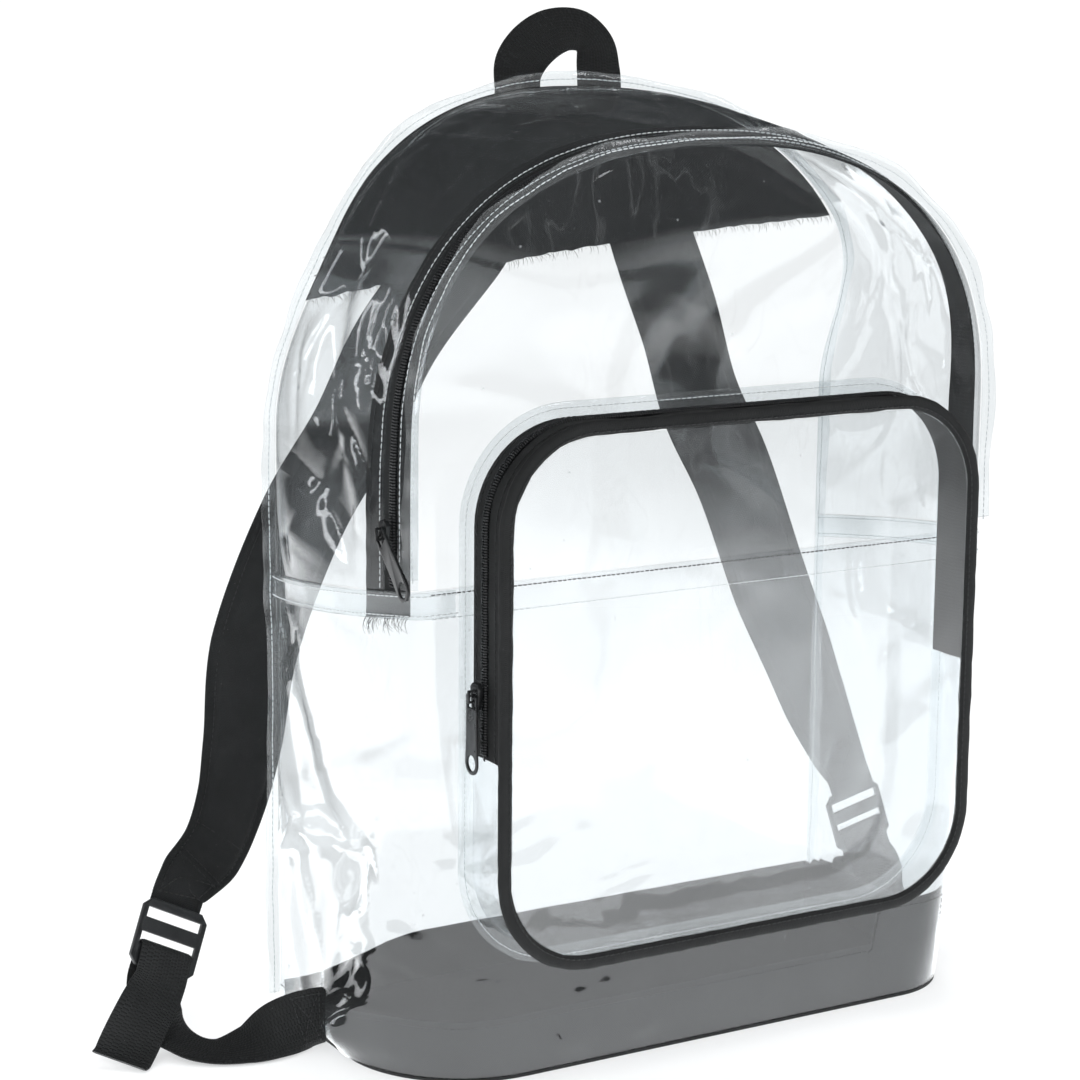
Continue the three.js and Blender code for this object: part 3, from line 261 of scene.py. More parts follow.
def mesh_of(name: str, skin: Skin, sharp: float = 35.0) -> bpy.types.Object:
    """Builds an object at the origin from a mesh in millimetres.

    Args:
        name: the piece's name.
        skin: its mesh.
        sharp: edges that turn by more degrees than this stay sharp.

    Returns:
        The linked object, closed, smooth and facing outwards.
    """
    mesh = bpy.data.meshes.new(name)
    mesh.from_pydata((skin.verts * MM).tolist(), [], skin.faces)
    layer = mesh.uv_layers.new(name="UVMap")
    order = np.empty(len(mesh.loops), np.int32)
    mesh.loops.foreach_get("vertex_index", order)
    layer.data.foreach_set("uv", skin.uvs[order].astype(np.float32).ravel())
    work = bmesh.new()
    work.from_mesh(mesh)
    bmesh.ops.remove_doubles(work, verts=work.verts, dist=2e-6)
    bmesh.ops.dissolve_degenerate(work, edges=work.edges, dist=1e-6)
    bmesh.ops.recalc_face_normals(work, faces=work.faces)
    work.to_mesh(mesh)
    work.free()
    mesh.polygons.foreach_set("use_smooth", [True] * len(mesh.polygons))
    mesh.set_sharp_from_angle(angle=math.radians(sharp))
    obj = bpy.data.objects.new(name, mesh)
    bpy.context.scene.collection.objects.link(obj)
    return obj


class Graph:
    """A node tree and short ways to add to it."""

    def __init__(self, tree: bpy.types.NodeTree) -> None:
        """Keeps the tree that nodes are added to."""
        self.tree = tree

    def node(self, kind: str, inputs: dict | None = None, **settings: object) -> bpy.types.Node:
        """Adds a node.

        Args:
            kind: Blender's name of the node.
            inputs: a value or an output socket for each input, by name or number.
            settings: values of the node's own properties.

        Returns:
            The new node.
        """
        made = self.tree.nodes.new(kind)
        for key, value in settings.items():
            setattr(made, key, value)
        for key, value in (inputs or {}).items():
            if isinstance(value, bpy.types.NodeSocket):
                self.tree.links.new(value, made.inputs[key])
            else:
                made.inputs[key].default_value = value
        return made

    def calc(self, operation: str, a: object, b: object = 0.0, c: object = 0.0) -> bpy.types.NodeSocket:
        """Output of a Math node.

        Args:
            operation: the Math node's operation.
            a: first number or socket.
            b: second number or socket.
            c: third number or socket.

        Returns:
            The output socket.
        """
        return self.node("ShaderNodeMath", {0: a, 1: b, 2: c}, operation=operation).outputs[0]

    def noise(
        self, place: bpy.types.NodeSocket, scale: object, detail: float = 3.0, rough: float = 0.5
    ) -> bpy.types.NodeSocket:
        """Output of a Noise Texture.

        Args:
            place: socket of the coordinates.
            scale: number or socket.
            detail: octaves.
            rough: how strong the finer octaves are.

        Returns:
            The texture's value socket.
        """
        inputs = {"Vector": place, "Scale": scale, "Detail": detail, "Roughness": rough}
        return self.node("ShaderNodeTexNoise", inputs).outputs["Fac"]

    def ramp(
        self, value: bpy.types.NodeSocket, low: float, high: float, out_low: float = 0.0,
        out_high: float = 1.0
    ) -> bpy.types.NodeSocket:
        """Value spread from one range to another and held inside it.

        Args:
            value: the socket to map.
            low: value that gives out_low.
            high: value that gives out_high.
            out_low: result at low.
            out_high: result at high.

        Returns:
            The mapped socket.
        """
        inputs = {"Value": value, "From Min": low, "From Max": high, "To Min": out_low, "To Max": out_high}
        return self.node("ShaderNodeMapRange", inputs, clamp=True).outputs["Result"]

    def mixed(self, share: object, a: object, b: object) -> bpy.types.NodeSocket:
        """Colour mixed by a share.

        Args:
            share: number or socket from 0 to 1.
            a: colour or socket at 0.
            b: colour or socket at 1.

        Returns:
            The colour socket.
        """
        made = self.node("ShaderNodeMix", data_type="RGBA")
        for socket, value in ((made.inputs[0], share), (made.inputs[6], a), (made.inputs[7], b)):
            if isinstance(value, bpy.types.NodeSocket):
                self.tree.links.new(value, socket)
            else:
                socket.default_value = value
        return made.outputs[2]


def shader_group(
    name: str, inputs: Sequence[tuple[str, str, object]], outputs: Sequence[str],
    fill: Callable[[Graph, dict], dict]
) -> bpy.types.NodeTree:
    """Builds a shader node group.

    Args:
        name: the group's name.
        inputs: name, socket type and default of each input.
        outputs: names of the float outputs.
        fill: makes the nodes from the input sockets and returns the output sockets by name.

    Returns:
        The node group.
    """
    tree = bpy.data.node_groups.new(name, "ShaderNodeTree")
    for label, kind, value in inputs:
        socket = tree.interface.new_socket(label, in_out="INPUT", socket_type=kind)
        if value is not None:
            socket.default_value = value
    for label in outputs:
        tree.interface.new_socket(label, in_out="OUTPUT", socket_type="NodeSocketFloat")
    graph = Graph(tree)
    entry = graph.node("NodeGroupInput")
    made = fill(graph, {label: entry.outputs[label] for label, _, _ in inputs})
    graph.node("NodeGroupOutput", {label: made[label] for label in outputs})
    return tree


VECTOR = "NodeSocketVector"
FLOAT = "NodeSocketFloat"


def weave_group() -> bpy.types.NodeTree:
    """Plain weave of crossing threads: their height, and a tone that varies from thread to thread."""

    def fill(g: Graph, given: dict) -> dict:
        """Nodes of the weave."""
        inverse = g.calc("DIVIDE", math.pi, given["Pitch"])
        scaled = g.node(
            "ShaderNodeVectorMath", {0: given["Place"], "Scale": inverse}, operation="SCALE"
        ).outputs[0]
        axes = g.node("ShaderNodeSeparateXYZ", {0: scaled})
        across, along = g.calc("SINE", axes.outputs[0]), g.calc("SINE", axes.outputs[1])
        over = g.calc("GREATER_THAN", g.calc("MULTIPLY", across, along), 0.0)
        warp = g.calc("POWER", g.calc("ABSOLUTE", across), 0.6)
        weft = g.calc("POWER", g.calc("ABSOLUTE", along), 0.6)
        under = g.calc("SUBTRACT", 1.0, over)
        height = g.calc(
            "ADD", g.calc("MULTIPLY", warp, over), g.calc("MULTIPLY", g.calc("MULTIPLY", weft, under), 0.85)
        )
        tone = g.noise(given["Place"], g.calc("DIVIDE", 0.12, given["Pitch"]), 4.0, 0.7)
        return {"Height": height, "Tone": tone}

    return shader_group(
        "plain_weave", [("Place", VECTOR, None), ("Pitch", FLOAT, 0.0005)], ["Height", "Tone"], fill
    )


def webbing_group() -> bpy.types.NodeTree:
    """Ribbed webbing: ridges across the run, broken into a row of dots by the binding threads."""

    def fill(g: Graph, given: dict) -> dict:
        """Nodes of the ribs."""
        axes = g.node("ShaderNodeSeparateXYZ", {0: given["Place"]})
        along = g.calc("MULTIPLY", axes.outputs[1], g.calc("DIVIDE", math.pi, given["Rib"]))
        across = g.calc("MULTIPLY", axes.outputs[0], g.calc("DIVIDE", math.pi, given["Cord"]))
        shift = g.calc(
            "MULTIPLY", g.calc("GREATER_THAN", g.calc("SINE", g.calc("MULTIPLY", across, 0.5)), 0.0),
            math.pi / 2
        )
        ridge = g.calc("POWER", g.calc("ABSOLUTE", g.calc("SINE", g.calc("ADD", along, shift))), 0.7)
        cords = g.calc("POWER", g.calc("ABSOLUTE", g.calc("SINE", across)), 0.5)
        height = g.calc("MULTIPLY", ridge, g.ramp(cords, 0.0, 0.7, 0.25, 1.0))
        tone = g.noise(given["Place"], 420.0, 4.0, 0.7)
        return {"Height": height, "Tone": tone}

    inputs = [("Place", VECTOR, None), ("Rib", FLOAT, 0.0016), ("Cord", FLOAT, 0.0016)]
    return shader_group("ribbed_webbing", inputs, ["Height", "Tone"], fill)


def lint_group() -> bpy.types.NodeTree:
    """Scattered specks and short fibres, as lint caught on cloth or dust on a sheet."""

    def fill(g: Graph, given: dict) -> dict:
        """Nodes of the specks."""
        cells = g.node(
            "ShaderNodeTexVoronoi", {"Vector": given["Place"], "Scale": given["Scale"], "Randomness": 1.0}
        )
        speck = g.ramp(cells.outputs["Distance"], 0.05, 0.13, 1.0, 0.0)
        chance = g.node("ShaderNodeSeparateColor", {0: cells.outputs["Color"]}).outputs[0]
        kept = g.calc("LESS_THAN", chance, given["Amount"])
        return {"Mask": g.calc("MULTIPLY", speck, kept)}

    inputs = [("Place", VECTOR, None), ("Scale", FLOAT, 260.0), ("Amount", FLOAT, 0.15)]
    return shader_group("lint", inputs, ["Mask"], fill)


def sheet_waves_group() -> bpy.types.NodeTree:
    """Slack and creases of soft clear sheet: a height for the light, and a mask of whitened creases."""

    def fill(g: Graph, given: dict) -> dict:
        """Nodes of the waves."""
        long = g.node(
            "ShaderNodeMapping",
            {"Vector": given["Place"], "Rotation": (0.5, 0.3, 0.4), "Scale": (1.0, 1.0, 0.45)}
        ).outputs[0]
        broad = g.noise(long, given["Scale"], 1.5, 0.4)
        fine = g.noise(long, g.calc("MULTIPLY", given["Scale"], 6.0), 1.0, 0.5)
        ridge = g.calc("ABSOLUTE", g.calc("SUBTRACT", fine, 0.5))
        crease = g.ramp(ridge, 0.0, 0.02, 1.0, 0.0)
        height = g.calc("MULTIPLY_ADD", fine, given["Crease"], broad)
        return {"Height": height, "Mask": g.calc("MULTIPLY", crease, g.ramp(broad, 0.5, 0.62))}

    inputs = [("Place", VECTOR, None), ("Scale", FLOAT, 16.0), ("Crease", FLOAT, 0.04)]
    return shader_group("sheet_waves", inputs, ["Height", "Mask"], fill)


def grain_group() -> bpy.types.NodeTree:
    """Fine grain of a moulded or painted surface: height, and a mask of scuffs."""

    def fill(g: Graph, given: dict) -> dict:
        """Nodes of the grain."""
        fine = g.noise(given["Place"], given["Scale"], 4.0, 0.6)
        scuffs = g.ramp(
            g.noise(given["Place"], g.calc("MULTIPLY", given["Scale"], 0.18), 5.0, 0.75), 0.58, 0.72
        )
        return {"Height": fine, "Scuffs": scuffs}

    return shader_group(
        "grain", [("Place", VECTOR, None), ("Scale", FLOAT, 1800.0)], ["Height", "Scuffs"], fill
    )


Colour = tuple[float, float, float]


def rgba(colour: Colour, level: float = 1.0) -> tuple[float, float, float, float]:
    """Colour at a level of brightness, with alpha."""
    return (colour[0] * level, colour[1] * level, colour[2] * level, 1.0)


def new_material(name: str) -> tuple[bpy.types.Material, Graph, bpy.types.Node]:
    """An empty node material.

    Args:
        name: the material's name.

    Returns:
        The material, its graph and its output node.
    """
    material = bpy.data.materials.new(name)
    material.use_nodes = True
    material.node_tree.nodes.clear()
    graph = Graph(material.node_tree)
    return material, graph, graph.node("ShaderNodeOutputMaterial")


@dataclass
class Groups:
    """Shader groups that the finishes share."""

    weave: bpy.types.NodeTree = field(default_factory=weave_group)
    webbing: bpy.types.NodeTree = field(default_factory=webbing_group)
    lint: bpy.types.NodeTree = field(default_factory=lint_group)
    waves: bpy.types.NodeTree = field(default_factory=sheet_waves_group)
    grain: bpy.types.NodeTree = field(default_factory=grain_group)


@dataclass(frozen=True)
class ClearSheet:
    """Clear vinyl: a film that lets light through, with haze, gloss and creases."""

    name: str
    slot: str
    tint: Colour = (0.915, 0.927, 0.933)
    haze: float = 0.006
    crease_haze: float = 0.03
    milk: Colour = (0.80, 0.83, 0.85)
    roughness: float = 0.06
    wave_scale: float = 16.0
    wave_depth: float = 0.0022
    crease: float = 0.05
    mirror: float = 1.0
    dust: float = 0.03

    def build(self, groups: Groups) -> bpy.types.Material:
        """Makes the material.

        Args:
            groups: the shared shader groups.

        Returns:
            The material.
        """
        material, g, output = new_material(self.name)
        place = g.node("ShaderNodeTexCoord").outputs["Object"]
        waves = g.node("ShaderNodeGroup", node_tree=groups.waves)
        g.tree.links.new(place, waves.inputs["Place"])
        waves.inputs["Scale"].default_value = self.wave_scale
        waves.inputs["Crease"].default_value = self.crease
        dust = g.node("ShaderNodeGroup", node_tree=groups.lint)
        g.tree.links.new(place, dust.inputs["Place"])
        dust.inputs["Scale"].default_value = 150.0
        dust.inputs["Amount"].default_value = self.dust
        bump = g.node(
            "ShaderNodeBump",
            {"Height": waves.outputs["Height"], "Strength": 1.0, "Distance": self.wave_depth}
        )
        patches = g.noise(place, 9.0, 3.0, 0.6)
        haze = g.calc(
            "MULTIPLY_ADD", waves.outputs["Mask"], self.crease_haze,
            g.ramp(patches, 0.3, 0.7, self.haze * 0.6, self.haze * 1.5)
        )
        haze = g.calc("ADD", haze, g.calc("MULTIPLY", dust.outputs["Mask"], 0.25))
        clear = g.node("ShaderNodeBsdfTransparent", {"Color": rgba(self.tint)})
        milk = g.node(
            "ShaderNodeBsdfPrincipled", {"Normal": bump.outputs[0], "Roughness": 0.35, "IOR": 1.5}
        )
        g.tree.links.new(
            g.mixed(patches, rgba(self.milk, 0.94), rgba(self.milk)), milk.inputs["Base Color"]
        )
        body = g.node("ShaderNodeMixShader", {0: haze, 1: clear.outputs[0], 2: milk.outputs[0]})
        gloss = g.node(
            "ShaderNodeBsdfAnisotropic", {"Color": (1.0, 1.0, 1.0, 1.0), "Normal": bump.outputs[0]}
        )
        g.tree.links.new(
            g.ramp(patches, 0.3, 0.7, self.roughness * 0.7, self.roughness * 1.4), gloss.inputs["Roughness"]
        )
        facing = g.node(
            "ShaderNodeLayerWeight", {"Blend": 0.5, "Normal": bump.outputs[0]}
        ).outputs["Facing"]
        share = g.calc("MULTIPLY_ADD", g.calc("POWER", facing, 5.0), 0.96 * self.mirror, 0.04 * self.mirror)
        final = g.node("ShaderNodeMixShader", {0: share, 1: body.outputs[0], 2: gloss.outputs[0]})
        g.tree.links.new(final.outputs[0], output.inputs["Surface"])
        return material


class Cloth(Enum):
    """How a cloth is woven."""

    PLAIN = "plain"
    RIBBED = "ribbed"


@dataclass(frozen=True)
class ClothFinish:
    """Black woven cloth, tape or webbing, with lint and uneven dye, and painted shade between the threads
    with painted light on the thread crowns.
    """

    name: str
    slot: str
    weave: Cloth
    # dark is the colour in the gaps between threads, where painted shade falls; light is the colour of the
    # raised thread crowns, as painted light. Random thread tone and random patches also mix between the two.
    dark: Colour
    light: Colour
    pitch: float
    depth: float
    roughness: float = 0.85
    sheen: float = 0.03
    lint: float = 0.06

    def build(self, groups: Groups) -> bpy.types.Material:
        """Makes the material.

        Args:
            groups: the shared shader groups.

        Returns:
            The material.
        """
        material, g, output = new_material(self.name)
        coords = g.node("ShaderNodeTexCoord")
        ribbed = self.weave is Cloth.RIBBED
        threads = g.node("ShaderNodeGroup", node_tree=groups.webbing if ribbed else groups.weave)
        g.tree.links.new(coords.outputs["UV"], threads.inputs["Place"])
        for label in ("Rib", "Cord") if ribbed else ("Pitch",):
            threads.inputs[label].default_value = self.pitch
        dust = g.node("ShaderNodeGroup", node_tree=groups.lint)
        g.tree.links.new(coords.outputs["Object"], dust.inputs["Place"])
        dust.inputs["Scale"].default_value = 420.0
        dust.inputs["Amount"].default_value = self.lint
        worn = g.noise(coords.outputs["Object"], 38.0, 5.0, 0.65)
        # The colour follows the thread height: painted shade in the gaps between threads and painted light
        # on the crowns, scaled by a random thread tone and by random darker patches.
        share = g.calc(
            "MULTIPLY", g.ramp(threads.outputs["Height"], 0.1, 0.95),
            g.ramp(threads.outputs["Tone"], 0.3, 0.7, 0.55, 1.0)
        )
        share = g.calc("MULTIPLY", share, g.ramp(worn, 0.35, 0.68, 0.6, 1.0))
        colour = g.mixed(share, rgba(self.dark), rgba(self.light))
        colour = g.mixed(g.calc("MULTIPLY", dust.outputs["Mask"], 0.5), colour, (0.16, 0.16, 0.16, 1.0))
        bump = g.node(
            "ShaderNodeBump", {"Height": threads.outputs["Height"], "Strength": 1.0, "Distance": self.depth}
        )
        wrinkle = g.node(
            "ShaderNodeBump",
            {
                "Height": g.noise(coords.outputs["Object"], 70.0, 3.0, 0.5), "Strength": 0.6,
                "Distance": 0.0012, "Normal": bump.outputs[0]
            }
        )
        cloth = g.node("ShaderNodeBsdfPrincipled", {"Base Color": colour, "Normal": wrinkle.outputs[0]})
        cloth.inputs["Sheen Weight"].default_value = self.sheen
        cloth.inputs["Sheen Roughness"].default_value = 0.45
        g.tree.links.new(
            g.ramp(worn, 0.3, 0.7, self.roughness, self.roughness - 0.12), cloth.inputs["Roughness"]
        )
        g.tree.links.new(cloth.outputs[0], output.inputs["Surface"])
        return material


@dataclass(frozen=True)
class HardFinish:
    """Moulded plastic or painted metal with fine grain and scuffs."""

    name: str
    slot: str
    colour: Colour
    scuff: Colour
    metallic: float
    roughness: float
    grain: float = 2200.0
    depth: float = 0.00004

    def build(self, groups: Groups) -> bpy.types.Material:
        """Makes the material.

        Args:
            groups: the shared shader groups.

        Returns:
            The material.
        """
        material, g, output = new_material(self.name)
        place = g.node("ShaderNodeTexCoord").outputs["Object"]
        grain = g.node("ShaderNodeGroup", node_tree=groups.grain)
        g.tree.links.new(place, grain.inputs["Place"])
        grain.inputs["Scale"].default_value = self.grain
        tone = g.noise(place, 120.0, 4.0, 0.6)
        colour = g.mixed(g.ramp(tone, 0.3, 0.7), rgba(self.colour, 0.8), rgba(self.colour, 1.25))
        colour = g.mixed(g.calc("MULTIPLY", grain.outputs["Scuffs"], 0.35), colour, rgba(self.scuff))
        bump = g.node(
            "ShaderNodeBump", {"Height": grain.outputs["Height"], "Strength": 0.8, "Distance": self.depth}
        )
        body = g.node(
            "ShaderNodeBsdfPrincipled",
            {"Base Color": colour, "Normal": bump.outputs[0], "Metallic": self.metallic}
        )
        rough = g.calc(
            "ADD", g.ramp(tone, 0.3, 0.7, self.roughness * 0.8, self.roughness * 1.2),
            g.calc("MULTIPLY", grain.outputs["Scuffs"], 0.15)
        )
        g.tree.links.new(rough, body.inputs["Roughness"])
        g.tree.links.new(body.outputs[0], output.inputs["Surface"])
        return material


@dataclass(frozen=True)
class ThreadFinish:
    """Sewing thread, clear or black, twisted along its run."""

    name: str
    slot: str
    colour: Colour
    roughness: float = 0.5

    def build(self, groups: Groups) -> bpy.types.Material:
        """Makes the material.

        Args:
            groups: the shared shader groups.

        Returns:
            The material.
        """
        material, g, output = new_material(self.name)
        place = g.node("ShaderNodeTexCoord").outputs["Object"]
        grain = g.node("ShaderNodeGroup", node_tree=groups.grain)
        g.tree.links.new(place, grain.inputs["Place"])
        grain.inputs["Scale"].default_value = 3000.0
        colour = g.mixed(g.noise(place, 900.0, 2.0), rgba(self.colour, 0.75), rgba(self.colour, 1.2))
        bump = g.node(
            "ShaderNodeBump", {"Height": grain.outputs["Height"], "Strength": 0.8, "Distance": 0.00006}
        )
        body = g.node(
            "ShaderNodeBsdfPrincipled",
            {"Base Color": colour, "Normal": bump.outputs[0], "Roughness": self.roughness}
        )
        g.tree.links.new(body.outputs[0], output.inputs["Surface"])
        return material


class Look(Enum):
    """Every finish on the bag."""

    VINYL = ClearSheet("clear_side_vinyl", "clear_vinyl")
    FRONT_VINYL = ClearSheet(
        "clear_front_vinyl", "clear_vinyl", (0.985, 0.99, 0.992), 0.004, 0.02, wave_scale=9.0,
        wave_depth=0.0014, crease=0.03
    )
    POCKET_VINYL = ClearSheet(
        "clear_pocket_vinyl", "clear_vinyl", (0.985, 0.99, 0.992), 0.03, 0.02, wave_scale=10.0,
        wave_depth=0.0014, crease=0.03
    )
    RIB = ClearSheet(
        "clear_seam_vinyl", "clear_seam", (0.93, 0.945, 0.95), 0.03, 0.08, (0.88, 0.90, 0.91), 0.1, 60.0,
        0.0008, 0.1
    )
    BASE = ClothFinish(
        "black_base_cloth", "black_fabric", Cloth.PLAIN, (0.0016, 0.0022, 0.0026), (0.0055, 0.0070, 0.0076),
        0.00055, 0.00016
    )
    PAD = ClothFinish(
        "black_pad_cloth", "black_fabric", Cloth.PLAIN, (0.0016, 0.0022, 0.0026), (0.0070, 0.0088, 0.0096),
        0.00075, 0.0002
    )
    BINDING = ClothFinish(
        "black_binding", "black_fabric", Cloth.RIBBED, (0.0014, 0.0020, 0.0024), (0.0050, 0.0064, 0.0070),
        0.0009, 0.00015
    )
    WEBBING = ClothFinish(
        "black_ribbed_webbing", "black_webbing", Cloth.RIBBED, (0.0014, 0.0020, 0.0024),
        (0.0075, 0.0092, 0.0100), 0.0017, 0.0003, 0.78
    )
    TAPE = ClothFinish(
        "black_zip_tape", "zip_tape", Cloth.RIBBED, (0.0014, 0.0020, 0.0024), (0.0050, 0.0064, 0.0070),
        0.0007, 0.00012
    )
    COIL = HardFinish("black_coil", "black_plastic", (0.010, 0.011, 0.012), (0.05, 0.05, 0.05), 0.0, 0.33)
    BUCKLE = HardFinish(
        "black_moulding", "black_plastic", (0.011, 0.012, 0.013), (0.06, 0.06, 0.06), 0.0, 0.38
    )
    PAINTED = HardFinish(
        "black_painted_metal", "black_metal", (0.014, 0.015, 0.016), (0.14, 0.14, 0.14), 0.35, 0.3
    )
    CLEAR_THREAD = ThreadFinish("pale_thread", "clear_seam", (0.62, 0.66, 0.68), 0.35)
    BLACK_THREAD = ThreadFinish("black_thread", "black_webbing", (0.012, 0.013, 0.014), 0.55)


@dataclass
class Arch:
    """Domed outline from the middle seam over the top. Sizes in millimetres."""

    half: float
    start: float
    rise: float
    power: float
    seam: float
    gap: float = 0.35
    straight: float = 0.14

    @property
    def foot(self) -> float:
        """Height where the outline starts."""
        return self.seam + self.gap / 2

    def plan(self, t: Grid) -> tuple[Grid, Grid]:
        """Outline in the X-Z plane.

        Args:
            t: share from the left foot, 0, over the top to the right foot, 1.

        Returns:
            X and Z of each place.
        """
        t = np.asarray(t, float)
        s = np.minimum(t, 1 - t)
        angle = (math.pi / 2) * np.clip((s - self.straight) / (0.5 - self.straight), 0, 1)
        bend = s > self.straight
        x = np.where(bend, -self.half * np.clip(np.cos(angle), 0, 1) ** (2 / self.power), -self.half)
        z = np.where(
            bend, self.start + self.rise * np.sin(angle) ** (2 / self.power),
            lerp(self.foot, self.start, s / self.straight)
        )
        return np.where(t > 0.5, -x, x), z

    def normal(self, t: Grid) -> Grid:
        """Outward direction in the X-Z plane.

        Args:
            t: share along the outline.

        Returns:
            Unit vectors shaped (..., 3).
        """
        xa, za = self.plan(np.asarray(t, float) - 0.004)
        xb, zb = self.plan(np.asarray(t, float) + 0.004)
        return unit(np.stack([-(zb - za), np.zeros_like(za), xb - xa], -1))

    def step_at(self, height: float) -> float:
        """Share on the left side where the outline reaches a height."""
        shares = np.linspace(self.straight, 0.5, 4000)
        return float(np.interp(height, self.plan(shares)[1], shares))


@dataclass
class Fold:
    """One soft dent: its middle, turn, reach along it, spread across it and depth."""

    u: float
    v: float
    turn: float
    reach: float
    spread: float
    depth: float

    def at(self, du: Grid, dv: Grid) -> Grid:
        """Depth of the dent.

        Args:
            du: first coordinate.
            dv: second coordinate.

        Returns:
            Depth at each place.
        """
        du, dv = du - self.u, dv - self.v
        side = du * math.cos(self.turn) + dv * math.sin(self.turn)
        run = -du * math.sin(self.turn) + dv * math.cos(self.turn)
        return self.depth * bell(side / self.spread) * bell(run / self.reach)


@dataclass
class BagForm:
    """Shape of the sewn shell, the same rules and sizes as its solids. Millimetres."""

    half_depth: float = 70.0
    half_width: float = 160.0
    front_half: float = 157.0
    wall: float = 1.0
    gap: float = 0.35
    side_bulge: float = 12.0
    top_bulge: float = 4.0
    seam_front: float = 237.0
    seam_back: float = 221.0
    corner: dict = field(default_factory=lambda: {Side.LEFT: 60.0, Side.RIGHT: 40.0})
    back: Arch = field(default_factory=lambda: Arch(160, 310, 141, 2.3, 221))
    front: Arch = field(default_factory=lambda: Arch(157, 300, 129, 2.4, 237))
    gusset_folds: tuple[Fold, ...] = (
        Fold(0.17 * 3, 0.42, 0.9, 0.34, 0.09, 4.8),
        Fold(0.24 * 3, 0.30, -0.5, 0.28, 0.08, 3.6),
        Fold(0.08 * 3, 0.50, 0.3, 0.40, 0.10, 3.0),
        Fold(0.36 * 3, 0.45, 1.2, 0.30, 0.10, 4.2),
        Fold(0.82 * 3, 0.45, -0.8, 0.34, 0.09, 4.2),
    )
    wrap_folds: dict = field(
        default_factory=lambda: {
            Side.LEFT: (
                Fold(-20, 95, 0.5, 46, 11, 4.5), Fold(22, 140, -0.6, 52, 12, 3.5),
                Fold(-38, 165, 1.1, 40, 10, 3.0)
            ),
            Side.RIGHT: (Fold(-5, 110, 0.8, 50, 12, 4.0), Fold(30, 170, -0.4, 44, 11, 3.0)),
        }
    )

    @property
    def panel_edge(self) -> float:
        """Y at which gusset and wrap start behind a panel."""
        return self.half_depth - self.wall - self.gap

    def back_y(self, x: Grid, z: Grid) -> Grid:
        """Y of the back panel's outer face, which leans forward at the shoulders."""
        lean = 6 + 31 * np.abs(np.asarray(x) / self.half_width) ** 1.7
        return self.half_depth - lean * smooth((np.asarray(z, float) - 290) / 100)

    def bulge(self, w: Grid) -> Grid:
        """Share of the side's bulge across the depth."""
        return np.sin(math.pi * np.clip(w, 0, 1)) ** 0.8

    def behind(self, distance: float) -> float:
        """Share of the gusset's depth at a distance behind the front seam."""
        return 1 - distance / (2 * self.half_depth)

    def gusset(self, t: Grid, w: Grid, offset: float | Grid) -> tuple[Grid, Grid]:
        """Place on the gusset.

        Args:
            t: share along the arch.
            w: share from the back seam to the front seam.
            offset: distance outwards.

        Returns:
            Points and outward directions.
        """
        t, w = np.broadcast_arrays(np.asarray(t, float), np.asarray(w, float))
        bx, bz = self.back.plan(t)
        fx, fz = self.front.plan(t)
        start = np.stack([bx, self.back_y(bx, bz) - self.wall - self.gap, bz], -1)
        end = np.stack([fx, np.full_like(fx, -self.panel_edge), fz], -1)
        out = unit(lerp(self.back.normal(t), self.front.normal(t), w[..., None]))
        side = np.abs(t - 0.5) * 2
        bulge = lerp(self.top_bulge, self.side_bulge, smooth((side - 0.35) / 0.5))
        dents = sum(f.at(t * 3, w) for f in self.gusset_folds)
        keep = smooth(w / 0.15) * smooth((0.76 - w) / 0.14) * smooth(t / 0.05) * smooth((1 - t) / 0.05)
        lift = bulge * self.bulge(w) - dents * keep + offset
        return lerp(start, end, w[..., None]) + out * np.asarray(lift)[..., None], out

    def seam_height(self, y: Grid) -> Grid:
        """Height of the middle seam along the side."""
        return lerp(
            self.seam_back, self.seam_front, np.clip((self.half_depth - y) / (2 * self.half_depth), 0, 1)
        )

    def corner_radius(self, side: Side, z: Grid) -> Grid:
        """Radius of the wrap's front corner at a height."""
        base = self.corner[side]
        return 4 + (base - 4) * (1 - np.clip(np.asarray(z, float) / self.seam_front, 0, 1)) ** 1.6

    def side_half(self, y: Grid, z: Grid) -> Grid:
        """Half width of the wrap."""
        narrow = self.half_width - self.front_half
        return self.half_width - narrow * (
            (self.half_depth - y) / (2 * self.half_depth)
        ) * np.clip(np.asarray(z, float) / self.seam_front, 0, 1)

    def wrap(
        self, part: Part, share: float, z: Grid, offset: float, back_edge: float, loose: bool
    ) -> tuple[Grid, Grid]:
        """One column of the lower wrap.

        Args:
            part: stretch of the outline.
            share: place along that stretch.
            z: heights of the column.
            offset: distance outwards.
            back_edge: Y where the sides start.
            loose: whether the soft folds are in.

        Returns:
            Points and outward directions, shaped like z.
        """
        z = np.asarray(z, float)
        side = Side.LEFT if part in (Part.LEFT_SIDE, Part.LEFT_ARC) else Side.RIGHT
        sign = side.value
        radius = self.corner_radius(side, z)
        half = self.side_half(-self.half_depth, z)
        flat = np.zeros_like(z)
        if part is Part.FRONT:
            left = -half + self.corner_radius(Side.LEFT, z)
            right = half - self.corner_radius(Side.RIGHT, z)
            x, y = lerp(left, right, share), flat - self.half_depth
            out = np.stack([flat, flat - 1, flat], -1)
        elif part in (Part.LEFT_SIDE, Part.RIGHT_SIDE):
            y = lerp(back_edge, -self.half_depth + radius, share)
            x = sign * self.side_half(y, z)
            out = np.stack([flat + sign, flat, flat], -1)
        else:
            angle = (math.pi / 2) * share
            out = np.stack([flat + sign * math.cos(angle), flat - math.sin(angle), flat], -1)
            x = sign * (half - radius) + out[..., 0] * radius
            y = -self.half_depth + radius + out[..., 1] * radius
        points = np.stack([x, y, z], -1) + out * offset
        if part is not Part.FRONT:
            ys = points[..., 1]
            deep = lerp(0.15, 1, smooth(z / self.seam_front))
            free = self.looseness(side, ys, z) if loose else 0.0
            fade = smooth((self.half_depth - ys) / 12)
            reach = self.side_bulge * deep * self.bulge(
                (self.half_depth - ys) / (2 * self.half_depth)
            ) + free * fade
            points[..., 0] += sign * reach
        return points, out

